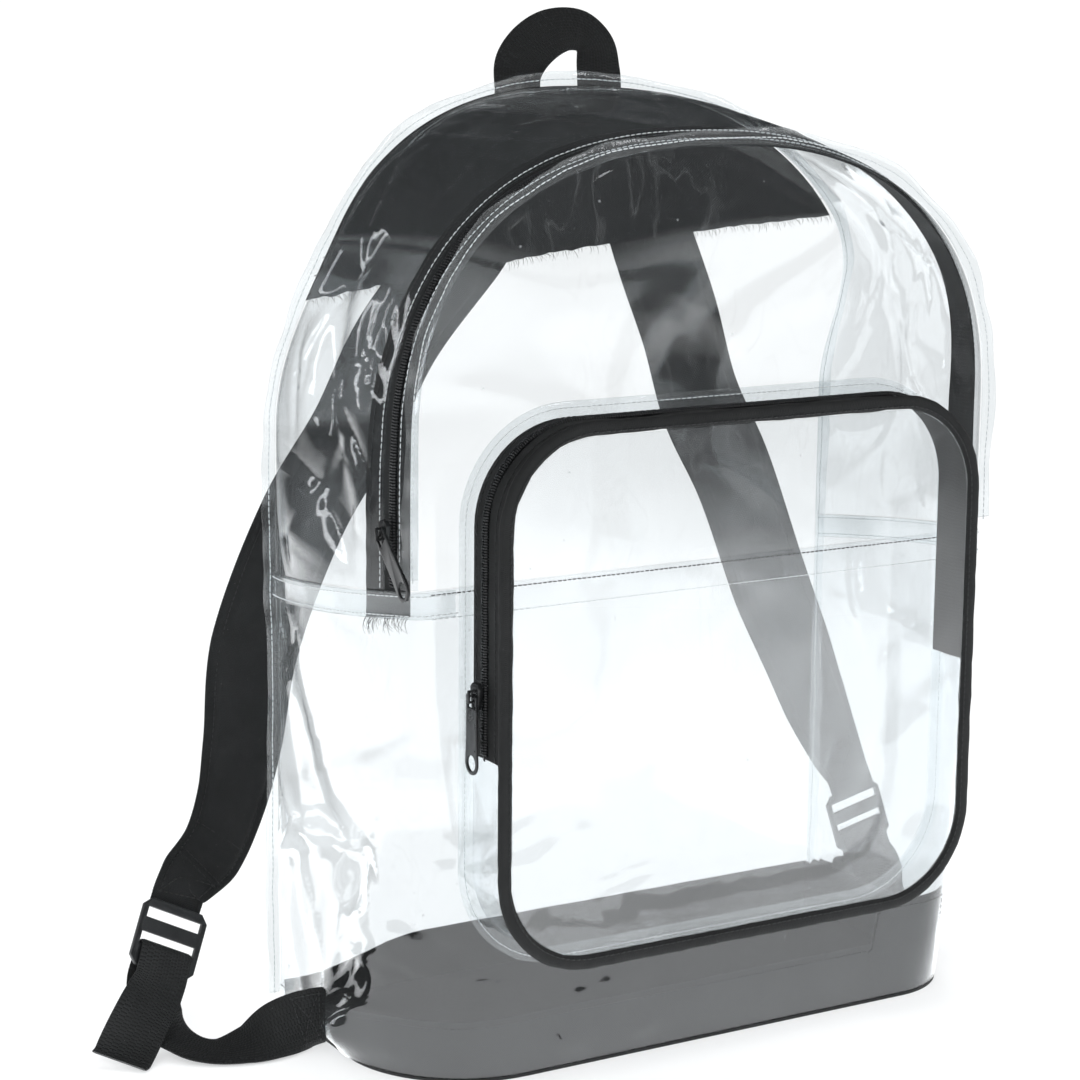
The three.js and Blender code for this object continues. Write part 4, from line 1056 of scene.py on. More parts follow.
    def looseness(self, side: Side, y: Grid, z: Grid) -> Grid:
        """Distance that folds and the rim's bulge push the wrap's side outwards."""
        dents = sum(f.at(y, z) for f in self.wrap_folds[side])
        rim = 13 * bell((y + 10) / 14) * bell((z - 18) / 13) if side is Side.LEFT else 0.0
        return rim - dents * smooth((z - 56) / 24) * smooth((212 - z) / 24)

    def body_front(self, x: Grid, z: Grid) -> Grid:
        """Y of the body's front face behind the pocket."""
        x, z = np.asarray(x, float), np.asarray(z, float)
        radius = np.where(x < 0, self.corner_radius(Side.LEFT, z), self.corner_radius(Side.RIGHT, z))
        over = np.clip(np.abs(x) - (self.side_half(-self.half_depth, z) - radius), 0, radius)
        bent = -self.half_depth + radius - np.sqrt(np.maximum(radius**2 - over**2, 0))
        return np.where(z > self.seam_front, -self.half_depth, bent)


def wrap_columns(side_count: int, arc_count: int, front: Sequence[float]) -> list[tuple[Part, float]]:
    """Columns of the wrap's outline.

    Args:
        side_count: columns on each side.
        arc_count: columns round each corner.
        front: shares across the front.

    Returns:
        Part and share of each column.
    """
    sides = np.linspace(0, 1, side_count + 1)
    arcs = np.linspace(0, 1, arc_count + 1)
    columns = [(Part.LEFT_SIDE, s) for s in sides] + [(Part.LEFT_ARC, s) for s in arcs[1:]]
    columns += [(Part.FRONT, s) for s in front[1:]]
    columns += [(Part.RIGHT_ARC, s) for s in arcs[::-1][1:]] + [
        (Part.RIGHT_SIDE, s)
        for s in sides[::-1][1:]
    ]
    return columns


@dataclass
class Row:
    """A ribbon's cross-section: centre, direction of its width, half width and thickness. Millimetres."""

    at: Grid
    wide: Grid
    half: float
    thick: float


def curve_point(points: Sequence[Grid], k: int, s: float) -> Grid:
    """Place on a centripetal curve through points.

    Args:
        points: the points it passes.
        k: number of the point before the place.
        s: share of the way to the next point.

    Returns:
        The place.
    """
    p1, p2 = points[k], points[k + 1]
    p0 = points[k - 1] if k > 0 else 2 * p1 - p2
    p3 = points[k + 2] if k + 2 < len(points) else 2 * p2 - p1
    d0, d1, d2 = (max(np.linalg.norm(a - b) ** 0.5, 1e-4) for a, b in ((p0, p1), (p1, p2), (p2, p3)))
    m1 = ((p1 - p0) / d0 - (p2 - p0) / (d0 + d1) + (p2 - p1) / d1) * d1
    m2 = ((p2 - p1) / d1 - (p3 - p1) / (d1 + d2) + (p3 - p2) / d2) * d1
    return p1 + m1 * s + (-3 * p1 + 3 * p2 - 2 * m1 - m2) * s**2 + (2 * p1 - 2 * p2 + m1 + m2) * s**3


def smooth_rows(rows: Sequence[Row], parts: int) -> list[Row]:
    """Ribbon rows with more rows set between them on a smooth run.

    Args:
        rows: the given rows.
        parts: pieces that each stretch is cut into.

    Returns:
        The finer rows.
    """
    centres = [r.at for r in rows]
    fine = []
    for k, (row, following) in enumerate(zip(rows, rows[1:])):
        for i in range(parts):
            s = i / parts
            fine.append(
                Row(
                    curve_point(centres, k, s), unit(lerp(row.wide, following.wide, s)),
                    lerp(row.half, following.half, s), lerp(row.thick, following.thick, s)
                )
            )
    return fine + [rows[-1]]


@dataclass
class Ribbon:
    """A flat band through rows, with a section that may be crowned."""

    rows: list[Row]
    edge: float
    crowned: bool = False
    floor_rest: float = 0.4
    uneven: float = 0.0

    def __post_init__(self) -> None:
        """Works out the direction frames along the run."""
        at = np.array([r.at for r in self.rows])
        along = np.empty_like(at)
        along[1:-1] = at[2:] - at[:-2]
        along[0], along[-1] = at[1] - at[0], at[-1] - at[-2]
        self.along = unit(along)
        wide = np.array([r.wide for r in self.rows])
        self.normal = unit(np.cross(self.along, wide))
        self.wide = unit(np.cross(self.normal, self.along))
        self.at = at
        self.half = np.array([r.half for r in self.rows])
        self.thick = np.array([r.thick for r in self.rows])
        steps = np.linalg.norm(np.diff(at, axis=0), axis=1)
        self.run = np.concatenate([[0.0], np.cumsum(steps)])

    def depth(self, across: Grid) -> Grid:
        """Thickness of the band.

        Args:
            across: shares across, from -1 to 1.

        Returns:
            Thickness shaped (rows, shares).
        """
        a = np.abs(across)
        if not self.crowned:
            round_off = np.sqrt(np.clip(1 - np.clip((a - 0.95) / 0.05, 0, 1) ** 2 * 0.8, 0, 1))
            return self.thick[:, None] * round_off[None]
        crown = 0.85 * smooth((0.84 - a) / 0.18) + 0.15 * np.clip(1 - (a / 0.7) ** 2, 0, 1)
        seam = 1 - 0.35 * bell((a - 0.79) / 0.03)
        hem = np.sqrt(np.clip(1 - np.clip((a - 0.97) / 0.03, 0, 1) ** 2 * 0.8, 0, 1))
        return (self.edge + (self.thick[:, None] - self.edge) * crown[None]) * (seam * hem)[None]

    def skin(self, count: int) -> Skin:
        """The band's mesh.

        Args:
            count: steps across the width.

        Returns:
            The closed mesh.
        """
        share = np.linspace(-1, 1, count + 1)
        share = np.sign(share) * np.abs(share) ** 0.8
        deep = self.depth(share) / 2
        base = self.at[:, None] + self.wide[:, None] * (self.half[:, None] * share[None])[..., None]
        if self.uneven:
            ripple = Ripple(26, 5, stretch=(1, 1, 1)).at(base) * self.uneven
            fade = smooth((1 - np.abs(share)) / 0.3)[None]
            top = deep + ripple * fade
            low = deep - ripple * fade * 0.4
        else:
            top, low = deep, deep
        upper = base + self.normal[:, None] * top[..., None]
        lower = base - self.normal[:, None] * low[..., None]
        loops = np.concatenate([upper, lower[:, ::-1]], axis=1)
        lift = np.maximum(self.floor_rest - loops[..., 2].min(axis=1), 0)
        loops[..., 2] += lift[:, None]
        self.lift = lift
        return lofted(loops)

    def place(self, run: Grid, across: Grid, face: int, lift: float = 0.0) -> tuple[Grid, Grid]:
        """Places on one face of the band.

        Args:
            run: distances along it in millimetres.
            across: shares across, from -1 to 1.
            face: 1 for the side that the normals point to, -1 for the other.
            lift: distance above the face.

        Returns:
            Points and outward directions.
        """
        run, across = np.broadcast_arrays(np.asarray(run, float), np.asarray(across, float))

        def sample(values: Grid) -> Grid:
            """Values read at the distances."""
            if values.ndim == 1:
                return np.interp(run, self.run, values)
            return np.stack([np.interp(run, self.run, values[:, i]) for i in range(values.shape[1])], -1)

        out = unit(sample(self.normal)) * face
        deep = np.array(
            [
                np.interp(r, self.run, self.depth(np.array([a]))[:, 0])
                for r, a in zip(run.ravel(), across.ravel())
            ]
        ).reshape(run.shape)
        points = sample(self.at) + unit(sample(self.wide)) * (sample(self.half) * across)[..., None]
        points = points + out * (deep / 2 + lift)[..., None]
        points[..., 2] = np.maximum(points[..., 2], self.floor_rest)
        return points, out


Chain = tuple[Grid, Grid]


class SmallShape:
    """Little meshes that Geometry Nodes set along a path. X runs along the path and Z points out."""

    @staticmethod
    def _object(name: str, skin: Skin) -> bpy.types.Object:
        """An unlinked mesh, one unit to the metre."""
        mesh = bpy.data.meshes.new(name)
        mesh.from_pydata(skin.verts.tolist(), [], skin.faces)
        mesh.polygons.foreach_set("use_smooth", [True] * len(mesh.polygons))
        work = bmesh.new()
        work.from_mesh(mesh)
        bmesh.ops.remove_doubles(work, verts=work.verts, dist=1e-5)
        bmesh.ops.recalc_face_normals(work, faces=work.faces)
        work.to_mesh(mesh)
        work.free()
        obj = bpy.data.objects.new(name, mesh)
        bpy.context.scene.collection.objects.link(obj)
        return obj

    @classmethod
    def stitch(cls) -> bpy.types.Object:
        """One stitch, a short capsule that dips at both ends."""
        spots = [
            (-0.5, -0.5, 0.25), (-0.36, 0.0, 0.8), (0.0, 0.25, 1.0), (0.36, 0.0, 0.8), (0.5, -0.5, 0.25)
        ]
        angles = np.arange(6) * math.pi / 3
        loops = [
            [(x, 0.5 * r * math.cos(a), z * 0.6 + 0.5 * r * math.sin(a)) for a in angles]
            for x, z, r in spots
        ]
        return cls._object("stitch_shape", lofted(np.array(loops)))

    @classmethod
    def tooth(cls) -> bpy.types.Object:
        """One turn of a zip coil, a rounded bar arched across the tape."""
        ways = np.linspace(-1, 1, 7)
        angles = np.arange(6) * math.pi / 3
        loops = []
        for w in ways:
            arch = math.sqrt(max(1 - abs(w) ** 2.6, 0)) * 0.62
            notch = -0.16 * math.exp(-((w / 0.18) ** 2))
            loops.append([(0.5 * math.cos(a), 0.5 * w, arch + notch + 0.3 * math.sin(a)) for a in angles])
        return cls._object("tooth_shape", lofted(np.array(loops)))

    @classmethod
    def fibre(cls) -> bpy.types.Object:
        """One loose fibre that leans off the path along Y and curls."""
        steps = np.linspace(0, 1, 7)
        angles = np.arange(4) * math.pi / 2
        loops = []
        for s in steps:
            width = 0.5 * (1 - 0.6 * s)
            centre = (0.28 * math.sin(2.4 * s), s, 0.16 * math.sin(3.2 * s))
            loops.append(
                [
                    (
                        centre[0] + 0.06 * width * math.cos(a), centre[1],
                        centre[2] + 0.06 * width * math.sin(a)
                    )
                    for a in angles
                ]
            )
        return cls._object("fibre_shape", lofted(np.array(loops)))


class PathRepeater:
    """Geometry Nodes tree that sets a small shape along edge chains, turned to path and surface."""

    INPUTS = (
        ("Shape", "NodeSocketObject"),
        ("Finish", "NodeSocketMaterial"),
        ("Spacing", "NodeSocketFloat"),
        ("Size", "NodeSocketVector"),
        ("Spread", "NodeSocketFloat"),
        ("Turn", "NodeSocketFloat"),
        ("Drift", "NodeSocketFloat"),
        ("Seed", "NodeSocketInt"),
    )

    def __init__(self) -> None:
        """Builds the tree once."""
        self.tree = bpy.data.node_groups.new("repeat_along_path", "GeometryNodeTree")
        face = self.tree.interface
        face.new_socket("Geometry", in_out="INPUT", socket_type="NodeSocketGeometry")
        face.new_socket("Geometry", in_out="OUTPUT", socket_type="NodeSocketGeometry")
        self.ids = {
            name: face.new_socket(name, in_out="INPUT", socket_type=kind).identifier
            for name, kind in self.INPUTS
        }
        g = Graph(self.tree)
        given = g.node("NodeGroupInput").outputs
        curve = g.node("GeometryNodeMeshToCurve", {0: given["Geometry"]})
        even = g.node(
            "GeometryNodeResampleCurve", {"Curve": curve.outputs[0], "Length": given["Spacing"]},
            mode="LENGTH"
        )
        out = g.node("GeometryNodeInputNamedAttribute", {"Name": "face_out"}, data_type="FLOAT_VECTOR")
        drift = self._random(g, given, given["Drift"], 1)
        shifted = g.node("GeometryNodeSetPosition", {"Geometry": even.outputs[0], "Offset": drift})
        tangent = g.node("GeometryNodeInputTangent")
        first = g.node("FunctionNodeAlignRotationToVector", {"Vector": tangent.outputs[0]}, axis="X")
        second = g.node(
            "FunctionNodeAlignRotationToVector", {"Rotation": first.outputs[0], "Vector": out.outputs[0]},
            axis="Z", pivot_axis="X"
        )
        angles = self._random(g, given, given["Turn"], 2)
        turned = g.node(
            "FunctionNodeRotateRotation", {"Rotation": second.outputs[0], "Rotate By": angles},
            rotation_space="LOCAL"
        )
        shape = g.node("GeometryNodeObjectInfo", {"Object": given["Shape"]})
        low = g.calc("SUBTRACT", 1.0, given["Spread"])
        high = g.calc("ADD", 1.0, given["Spread"])
        factor = g.node(
            "FunctionNodeRandomValue", {"Min": low, "Max": high, "Seed": given["Seed"]}, data_type="FLOAT"
        )
        size = g.node(
            "ShaderNodeVectorMath", {0: given["Size"], "Scale": self._output(factor)}, operation="SCALE"
        )
        copies = g.node(
            "GeometryNodeInstanceOnPoints",
            {
                "Points": shifted.outputs[0], "Instance": shape.outputs["Geometry"],
                "Rotation": turned.outputs[0], "Scale": size.outputs[0]
            }
        )
        real = g.node("GeometryNodeRealizeInstances", {0: copies.outputs[0]})
        painted = g.node(
            "GeometryNodeSetMaterial", {"Geometry": real.outputs[0], "Material": given["Finish"]}
        )
        g.node("NodeGroupOutput", {0: painted.outputs[0]})

    @staticmethod
    def _output(node: bpy.types.Node) -> bpy.types.NodeSocket:
        """The node's output that is in use."""
        return next(s for s in node.outputs if s.enabled)

    def _random(
        self, g: Graph, given: Sequence, reach: bpy.types.NodeSocket, shift: int
    ) -> bpy.types.NodeSocket:
        """A random vector within a reach on each axis.

        Args:
            g: graph of the tree.
            given: the tree's input sockets.
            reach: largest value on each axis.
            shift: number added to the seed.

        Returns:
            The vector socket.
        """
        unit_box = g.node("FunctionNodeRandomValue", data_type="FLOAT_VECTOR")
        low, high = [s for s in unit_box.inputs if s.enabled and s.name in ("Min", "Max")]
        low.default_value, high.default_value = (-1, -1, -1), (1, 1, 1)
        seed = g.node("ShaderNodeMath", {0: given["Seed"], 1: float(shift)}, operation="ADD")
        g.tree.links.new(seed.outputs[0], unit_box.inputs["Seed"])
        return g.node(
            "ShaderNodeVectorMath", {0: self._output(unit_box), "Scale": reach}, operation="SCALE"
        ).outputs[0]

    def make(self, name: str, chains: Sequence[Chain], values: dict) -> bpy.types.Object:
        """Sets the shape along chains and turns the result into a plain mesh.

        Args:
            name: the piece's name.
            chains: points in millimetres and outward directions of each chain.
            values: a value for each named input.

        Returns:
            The plain object.
        """
        verts, outs, edges = [], [], []
        for points, directions in chains:
            start = len(verts)
            verts += (np.asarray(points) * MM).tolist()
            outs += np.asarray(directions).tolist()
            edges += [(start + i, start + i + 1) for i in range(len(points) - 1)]
        mesh = bpy.data.meshes.new(name + "_path")
        mesh.from_pydata(verts, edges, [])
        store = mesh.attributes.new("face_out", "FLOAT_VECTOR", "POINT")
        store.data.foreach_set("vector", np.array(outs, np.float32).ravel())
        guide = bpy.data.objects.new(name + "_path", mesh)
        bpy.context.scene.collection.objects.link(guide)
        modifier = guide.modifiers.new("repeat", "NODES")
        modifier.node_group = self.tree
        for label, value in values.items():
            modifier[self.ids[label]] = value
        bpy.context.view_layer.update()
        graph = bpy.context.evaluated_depsgraph_get()
        plain = bpy.data.meshes.new_from_object(
            guide.evaluated_get(graph), preserve_all_data_layers=True, depsgraph=graph
        )
        bpy.data.objects.remove(guide)
        bpy.data.meshes.remove(mesh)
        plain.name = name
        obj = bpy.data.objects.new(name, plain)
        bpy.context.scene.collection.objects.link(obj)
        return obj


class Workbench:
    """Holds the finishes and small shapes, and turns meshes into pieces of the bag."""

    def __init__(self) -> None:
        """Builds the shared groups, the finishes, the repeater and the small shapes."""
        groups = Groups()
        self.materials = {look: look.value.build(groups) for look in Look}
        self.repeater = PathRepeater()
        self.stitch = SmallShape.stitch()
        self.tooth = SmallShape.tooth()
        self.fibre = SmallShape.fibre()

    def dress(self, obj: bpy.types.Object, look: Look, nodes: Sequence[str], body: str) -> bpy.types.Object:
        """Gives a piece its finish, body and the nodes that it stands for.

        Args:
            obj: the piece.
            look: its finish.
            nodes: CAD nodes that it replaces.
            body: the body that it rides on.

        Returns:
            The piece.
        """
        if not obj.data.materials:
            obj.data.materials.append(self.materials[look])
        obj.data.materials[0] = self.materials[look]
        if nodes:
            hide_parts(*nodes)
        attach(obj, body)
        obj.visible_shadow = not isinstance(look.value, ClearSheet)
        LOG.info("%s: %d faces", obj.name, len(obj.data.polygons))
        return obj

    def piece(
        self, name: str, skin: Skin, look: Look, nodes: Sequence[str] = (), body: str = "bag",
        sharp: float = 35.0
    ) -> bpy.types.Object:
        """Makes a piece from a mesh in millimetres.

        Args:
            name: its name.
            skin: its mesh.
            look: its finish.
            nodes: CAD nodes that it replaces.
            body: the body that it rides on.
            sharp: edges that turn by more degrees than this stay sharp.

        Returns:
            The piece.
        """
        return self.dress(mesh_of(name, skin, sharp), look, nodes, body)

    def sewn(
        self, name: str, chains: Sequence[Chain], look: Look, pitch: float = 3.2, thread: float = 0.55,
        seed: int = 3
    ) -> bpy.types.Object:
        """Rows of stitches.

        Args:
            name: the piece's name.
            chains: points in millimetres and outward directions of each row.
            look: the thread's finish.
            pitch: distance from stitch to stitch.
            thread: thickness of the thread.
            seed: seed of the unevenness.

        Returns:
            The piece.
        """
        values = {
            "Shape": self.stitch, "Finish": self.materials[look], "Spacing": pitch * MM,
            "Size": (pitch * 0.86 * MM, thread * MM, thread * MM), "Spread": 0.06, "Turn": 0.05,
            "Drift": 0.00005, "Seed": seed
        }
        return self.dress(self.repeater.make(name, chains, values), look, (), "bag")

    def frayed(
        self, name: str, chains: Sequence[Chain], look: Look, spacing: float, length: float, seed: int,
        thick: float = 3.0
    ) -> bpy.types.Object:
        """Loose fibres along a cut edge.

        Args:
            name: the piece's name.
            chains: points in millimetres and outward directions of each edge.
            look: the fibres' finish.
            spacing: distance from fibre to fibre.
            length: mean length of a fibre.
            seed: seed of the unevenness.
            thick: share of the fibre's width to its length.

        Returns:
            The piece.
        """
        size = (length * MM * thick / 3, length * MM, length * MM * thick / 3)
        values = {
            "Shape": self.fibre, "Finish": self.materials[look], "Spacing": spacing * MM, "Size": size,
            "Spread": 0.6, "Turn": 0.55, "Drift": 0.0002, "Seed": seed
        }
        return self.dress(self.repeater.make(name, chains, values), look, (), "bag")

    def coil(self, name: str, chain: Chain, wide: float, pitch: float, node: str) -> bpy.types.Object:
        """Turns of a closed zip coil.

        Args:
            name: the piece's name.
            chain: its centre line on the tape and outward directions.
            wide: width across the tape.
            pitch: distance from turn to turn.
            node: the CAD node that it replaces.

        Returns:
            The piece.
        """
        values = {
            "Shape": self.tooth, "Finish": self.materials[Look.COIL], "Spacing": pitch * MM,
            "Size": (pitch * 0.78 * MM, wide * MM, 1.9 * MM), "Spread": 0.02, "Turn": 0.03,
            "Drift": 0.00003, "Seed": 11
        }
        return self.dress(self.repeater.make(name, [chain], values), Look.COIL, (node,), "bag")

    def hard(self, name: str, node: str, look: Look, body: str, bevel: float) -> bpy.types.Object:
        """A rounded copy of a hard CAD node.

        Args:
            name: the piece's name.
            node: the CAD node.
            look: its finish.
            body: the body that it rides on.
            bevel: width of the rounding in millimetres.

        Returns:
            The piece.
        """
        mesh = frame["nodes"][node].data.copy()
        mesh.name = name
        mesh.materials.clear()
        work = bmesh.new()
        work.from_mesh(mesh)
        bmesh.ops.remove_doubles(work, verts=work.verts, dist=2e-6)
        bmesh.ops.dissolve_limit(work, angle_limit=math.radians(1.5), verts=work.verts, edges=work.edges)
        bmesh.ops.recalc_face_normals(work, faces=work.faces)
        work.to_mesh(mesh)
        work.free()
        obj = bpy.data.objects.new(name, mesh)
        bpy.context.scene.collection.objects.link(obj)
        rounding = obj.modifiers.new("rounding", "BEVEL")
        rounding.width = bevel * MM
        rounding.segments = 3
        rounding.limit_method = "ANGLE"
        rounding.angle_limit = math.radians(25)
        rounding.harden_normals = False
        bpy.context.view_layer.update()
        graph = bpy.context.evaluated_depsgraph_get()
        rounded = bpy.data.meshes.new_from_object(obj.evaluated_get(graph), depsgraph=graph)
        obj.modifiers.clear()
        obj.data = rounded
        rounded.polygons.foreach_set("use_smooth", [True] * len(rounded.polygons))
        rounded.set_sharp_from_angle(angle=math.radians(50))
        return self.dress(obj, look, (node,), body)

    def clear_away(self) -> None:
        """Removes the small shapes once everything is made."""
        for obj in (self.stitch, self.tooth, self.fibre):
            bpy.data.objects.remove(obj)


@dataclass
class ClearShell:
    """The clear sheets of the body: wrap, panels and gusset strips."""

    form: BagForm
    bench: Workbench
    sheet: float = 0.7
    slack: Ripple = Ripple(70, 21)

    def creased(self, points: Grid, out: Grid, amount: Grid, crinkles: Crinkles) -> Grid:
        """Points pushed in and out by slack and creases.

        Args:
            points: grid of points.
            out: outward directions.
            amount: strength at each place, in millimetres.
            crinkles: the folds.

        Returns:
            The moved points.
        """
        u, v = run_length(points, 0)[:, None], run_length(points, 1)[None]
        push = 0.4 * self.slack.at(points) + crinkles.at(u, v)
        return points + out * (push * amount)[..., None]

    def lower_wrap(self) -> None:
        """Clear wrap round the sides and front below the middle seam."""
        form = self.form
        columns = wrap_columns(44, 16, np.linspace(0, 1, 61))
        levels = np.concatenate([np.linspace(0, 0.24, 26), np.linspace(0.24, 1, 62)[1:]])
        faces = []
        for offset in (0.0, -self.sheet):
            grid = []
            for part, share in columns:
                y = form.wrap(part, share, form.seam_front, 0, form.panel_edge, False)[0][1]
                z = lerp(1.9, form.seam_height(y) - form.gap / 2, levels)
                points, out = form.wrap(part, share, z, offset, form.panel_edge, True)
                grid.append((points, out, self.wrap_slack(part, points)))
            points, out, amount = (np.stack([column[k] for column in grid], axis=1) for k in range(3))
            soft = self.creased(points, out, amount, Crinkles(110, 52, 0.9, 0.7))
            crushed = self.corner_crush(points) * smooth((points[..., 2] - 3) / 10)
            faces.append(soft + out * crushed[..., None])
        self.bench.piece("clear_lower_wrap", closed_sheet(*faces), Look.VINYL, ["lower_wrap"], sharp=60)

    def corner_crush(self, points: Grid) -> Grid:
        """Deep folds where the wrap bunches up at the left front corner, and slight waves along the tub."""
        run = run_length(points, 1)[None] + 0 * points[..., 2]
        corner = smooth((190 - np.abs(run - 115)) / 110) * smooth((150 - points[..., 2]) / 70)
        folds = Crinkles(420, 77, 0.9, 0.5, (10, 38), (2.0, 6.0), (-0.4, 2.6)).at(run, points[..., 2])
        low = smooth((42 - points[..., 2]) / 14)
        waves = 0.32 * (1 + Ripple(26, 61, stretch=(1, 1, 2.5)).at(points)) * low
        return np.clip(folds * corner * lerp(1.3, 1.0, low), -3.5 * (1 - low), 3.5) + np.clip(waves, 0, 0.9)

    def wrap_slack(self, part: Part, points: Grid) -> Grid:
        """Strength of the creases on the wrap, small at seams, behind the pocket and beside the tub."""
        z, y = points[..., 2], points[..., 1]
        ends = smooth((z - 34) / 30) * smooth((self.form.seam_front - 6 - z) / 26)
        if part is Part.FRONT:
            return 0.25 * ends
        return 1.5 * ends * smooth(
            (y + self.form.half_depth) / 25
        ) * smooth((self.form.half_depth - y) / 20)

    def gusset_strips(self) -> None:
        """Clear gusset behind the zip, and its narrow strip in front of the zip."""
        form = self.form
        t = np.linspace(0, 1, 321)[:, None]
        for name, node, low, high, count in (
            ("clear_gusset", "gusset_rear", 0.0, form.behind(20), 44),
            ("clear_gusset_edge", "gusset_front", form.behind(11), 1.0, 6)
        ):
            w = np.linspace(low, high, count + 1)[None]
            faces = []
            for offset in (0.0, -self.sheet):
                points, out = form.gusset(t, w, offset)
                free = smooth(w / 0.1) * smooth(
                    (high - w) / 0.14
                ) * smooth(t / 0.03) * smooth((1 - t) / 0.03)
                amount = (1.5 if node == "gusset_rear" else 0.2) * free * lerp(
                    0.5, 1.0, smooth((np.abs(t - 0.5) - 0.12) / 0.2)
                )
                faces.append(
                    self.creased(
                        points, out, amount, Crinkles(150, 58, 1.1, 0.6, (12, 46), (1.4, 5.0), (-1.9, 0.7))
                    )
                )
            self.bench.piece(name, closed_sheet(*faces), Look.VINYL, [node], sharp=60)

    def panel_grid(self, arch: Arch, steps: Grid, columns: int) -> tuple[Grid, Grid]:
        """X and Z of a panel spanned between the two sides of an arch."""
        x, z = arch.plan(steps)
        shares = np.linspace(-1, 1, columns + 1)
        return -x[:, None] * shares[None], np.repeat(z[:, None], columns + 1, axis=1)

    def front_panel(self) -> None:
        """Clear front above the middle seam, puffed a little at the top."""
        form = self.form
        x, z = self.panel_grid(form.front, np.linspace(0, 0.5, 110), 90)
        puff = 2.5 * smooth((z - 325) / 50) * (1 - (x / form.half_width) ** 2) * smooth((429 - z) / 30)
        base = np.stack([x, -form.half_depth - puff, z], -1)
        out = np.broadcast_to(point(0, 1, 0), base.shape)
        inside = smooth((z - 318) / 30) * smooth((1 - (x / 157) ** 2) / 0.3) * smooth((425 - z) / 20)
        faces = [
            self.creased(
                base + point(0, d, 0), out, 0.6 * inside,
                Crinkles(26, 63, 0.5, 0.8, (20, 70), (4, 14), (-1.2, 1.2))
            )
            for d in (0, self.sheet)
        ]
        self.bench.piece(
            "clear_front_panel", closed_sheet(*faces), Look.FRONT_VINYL, ["front_panel"], sharp=60
        )

    def back_panel(self) -> None:
        """Clear back, from the base to the top."""
        form = self.form
        low = (
            np.linspace(1.9, form.back.foot, 60)[:-1] - form.back.foot
        ) * form.back.straight / (form.back.start - form.back.foot)
        x, z = self.panel_grid(form.back, np.concatenate([low, np.linspace(0, 0.5, 110)]), 90)
        base = np.stack([x, form.back_y(x, z), z], -1)
        out = np.broadcast_to(point(0, -1, 0), base.shape)
        inside = smooth((z - 40) / 40) * smooth((160 - np.abs(x)) / 40) * smooth((350 - z) / 40)
        faces = [
            self.creased(
                base - point(0, d, 0), out, 0.7 * inside,
                Crinkles(40, 64, 0.3, 0.8, (20, 80), (4, 14), (-1.2, 1.2))
            )
            for d in (0, self.sheet)
        ]
        self.bench.piece(
            "clear_back_panel", closed_sheet(*faces), Look.FRONT_VINYL, ["back_panel"], sharp=60
        )

    def build(self) -> None:
        """Makes every clear sheet of the body."""
        self.lower_wrap()
        self.gusset_strips()
        self.front_panel()
        self.back_panel()


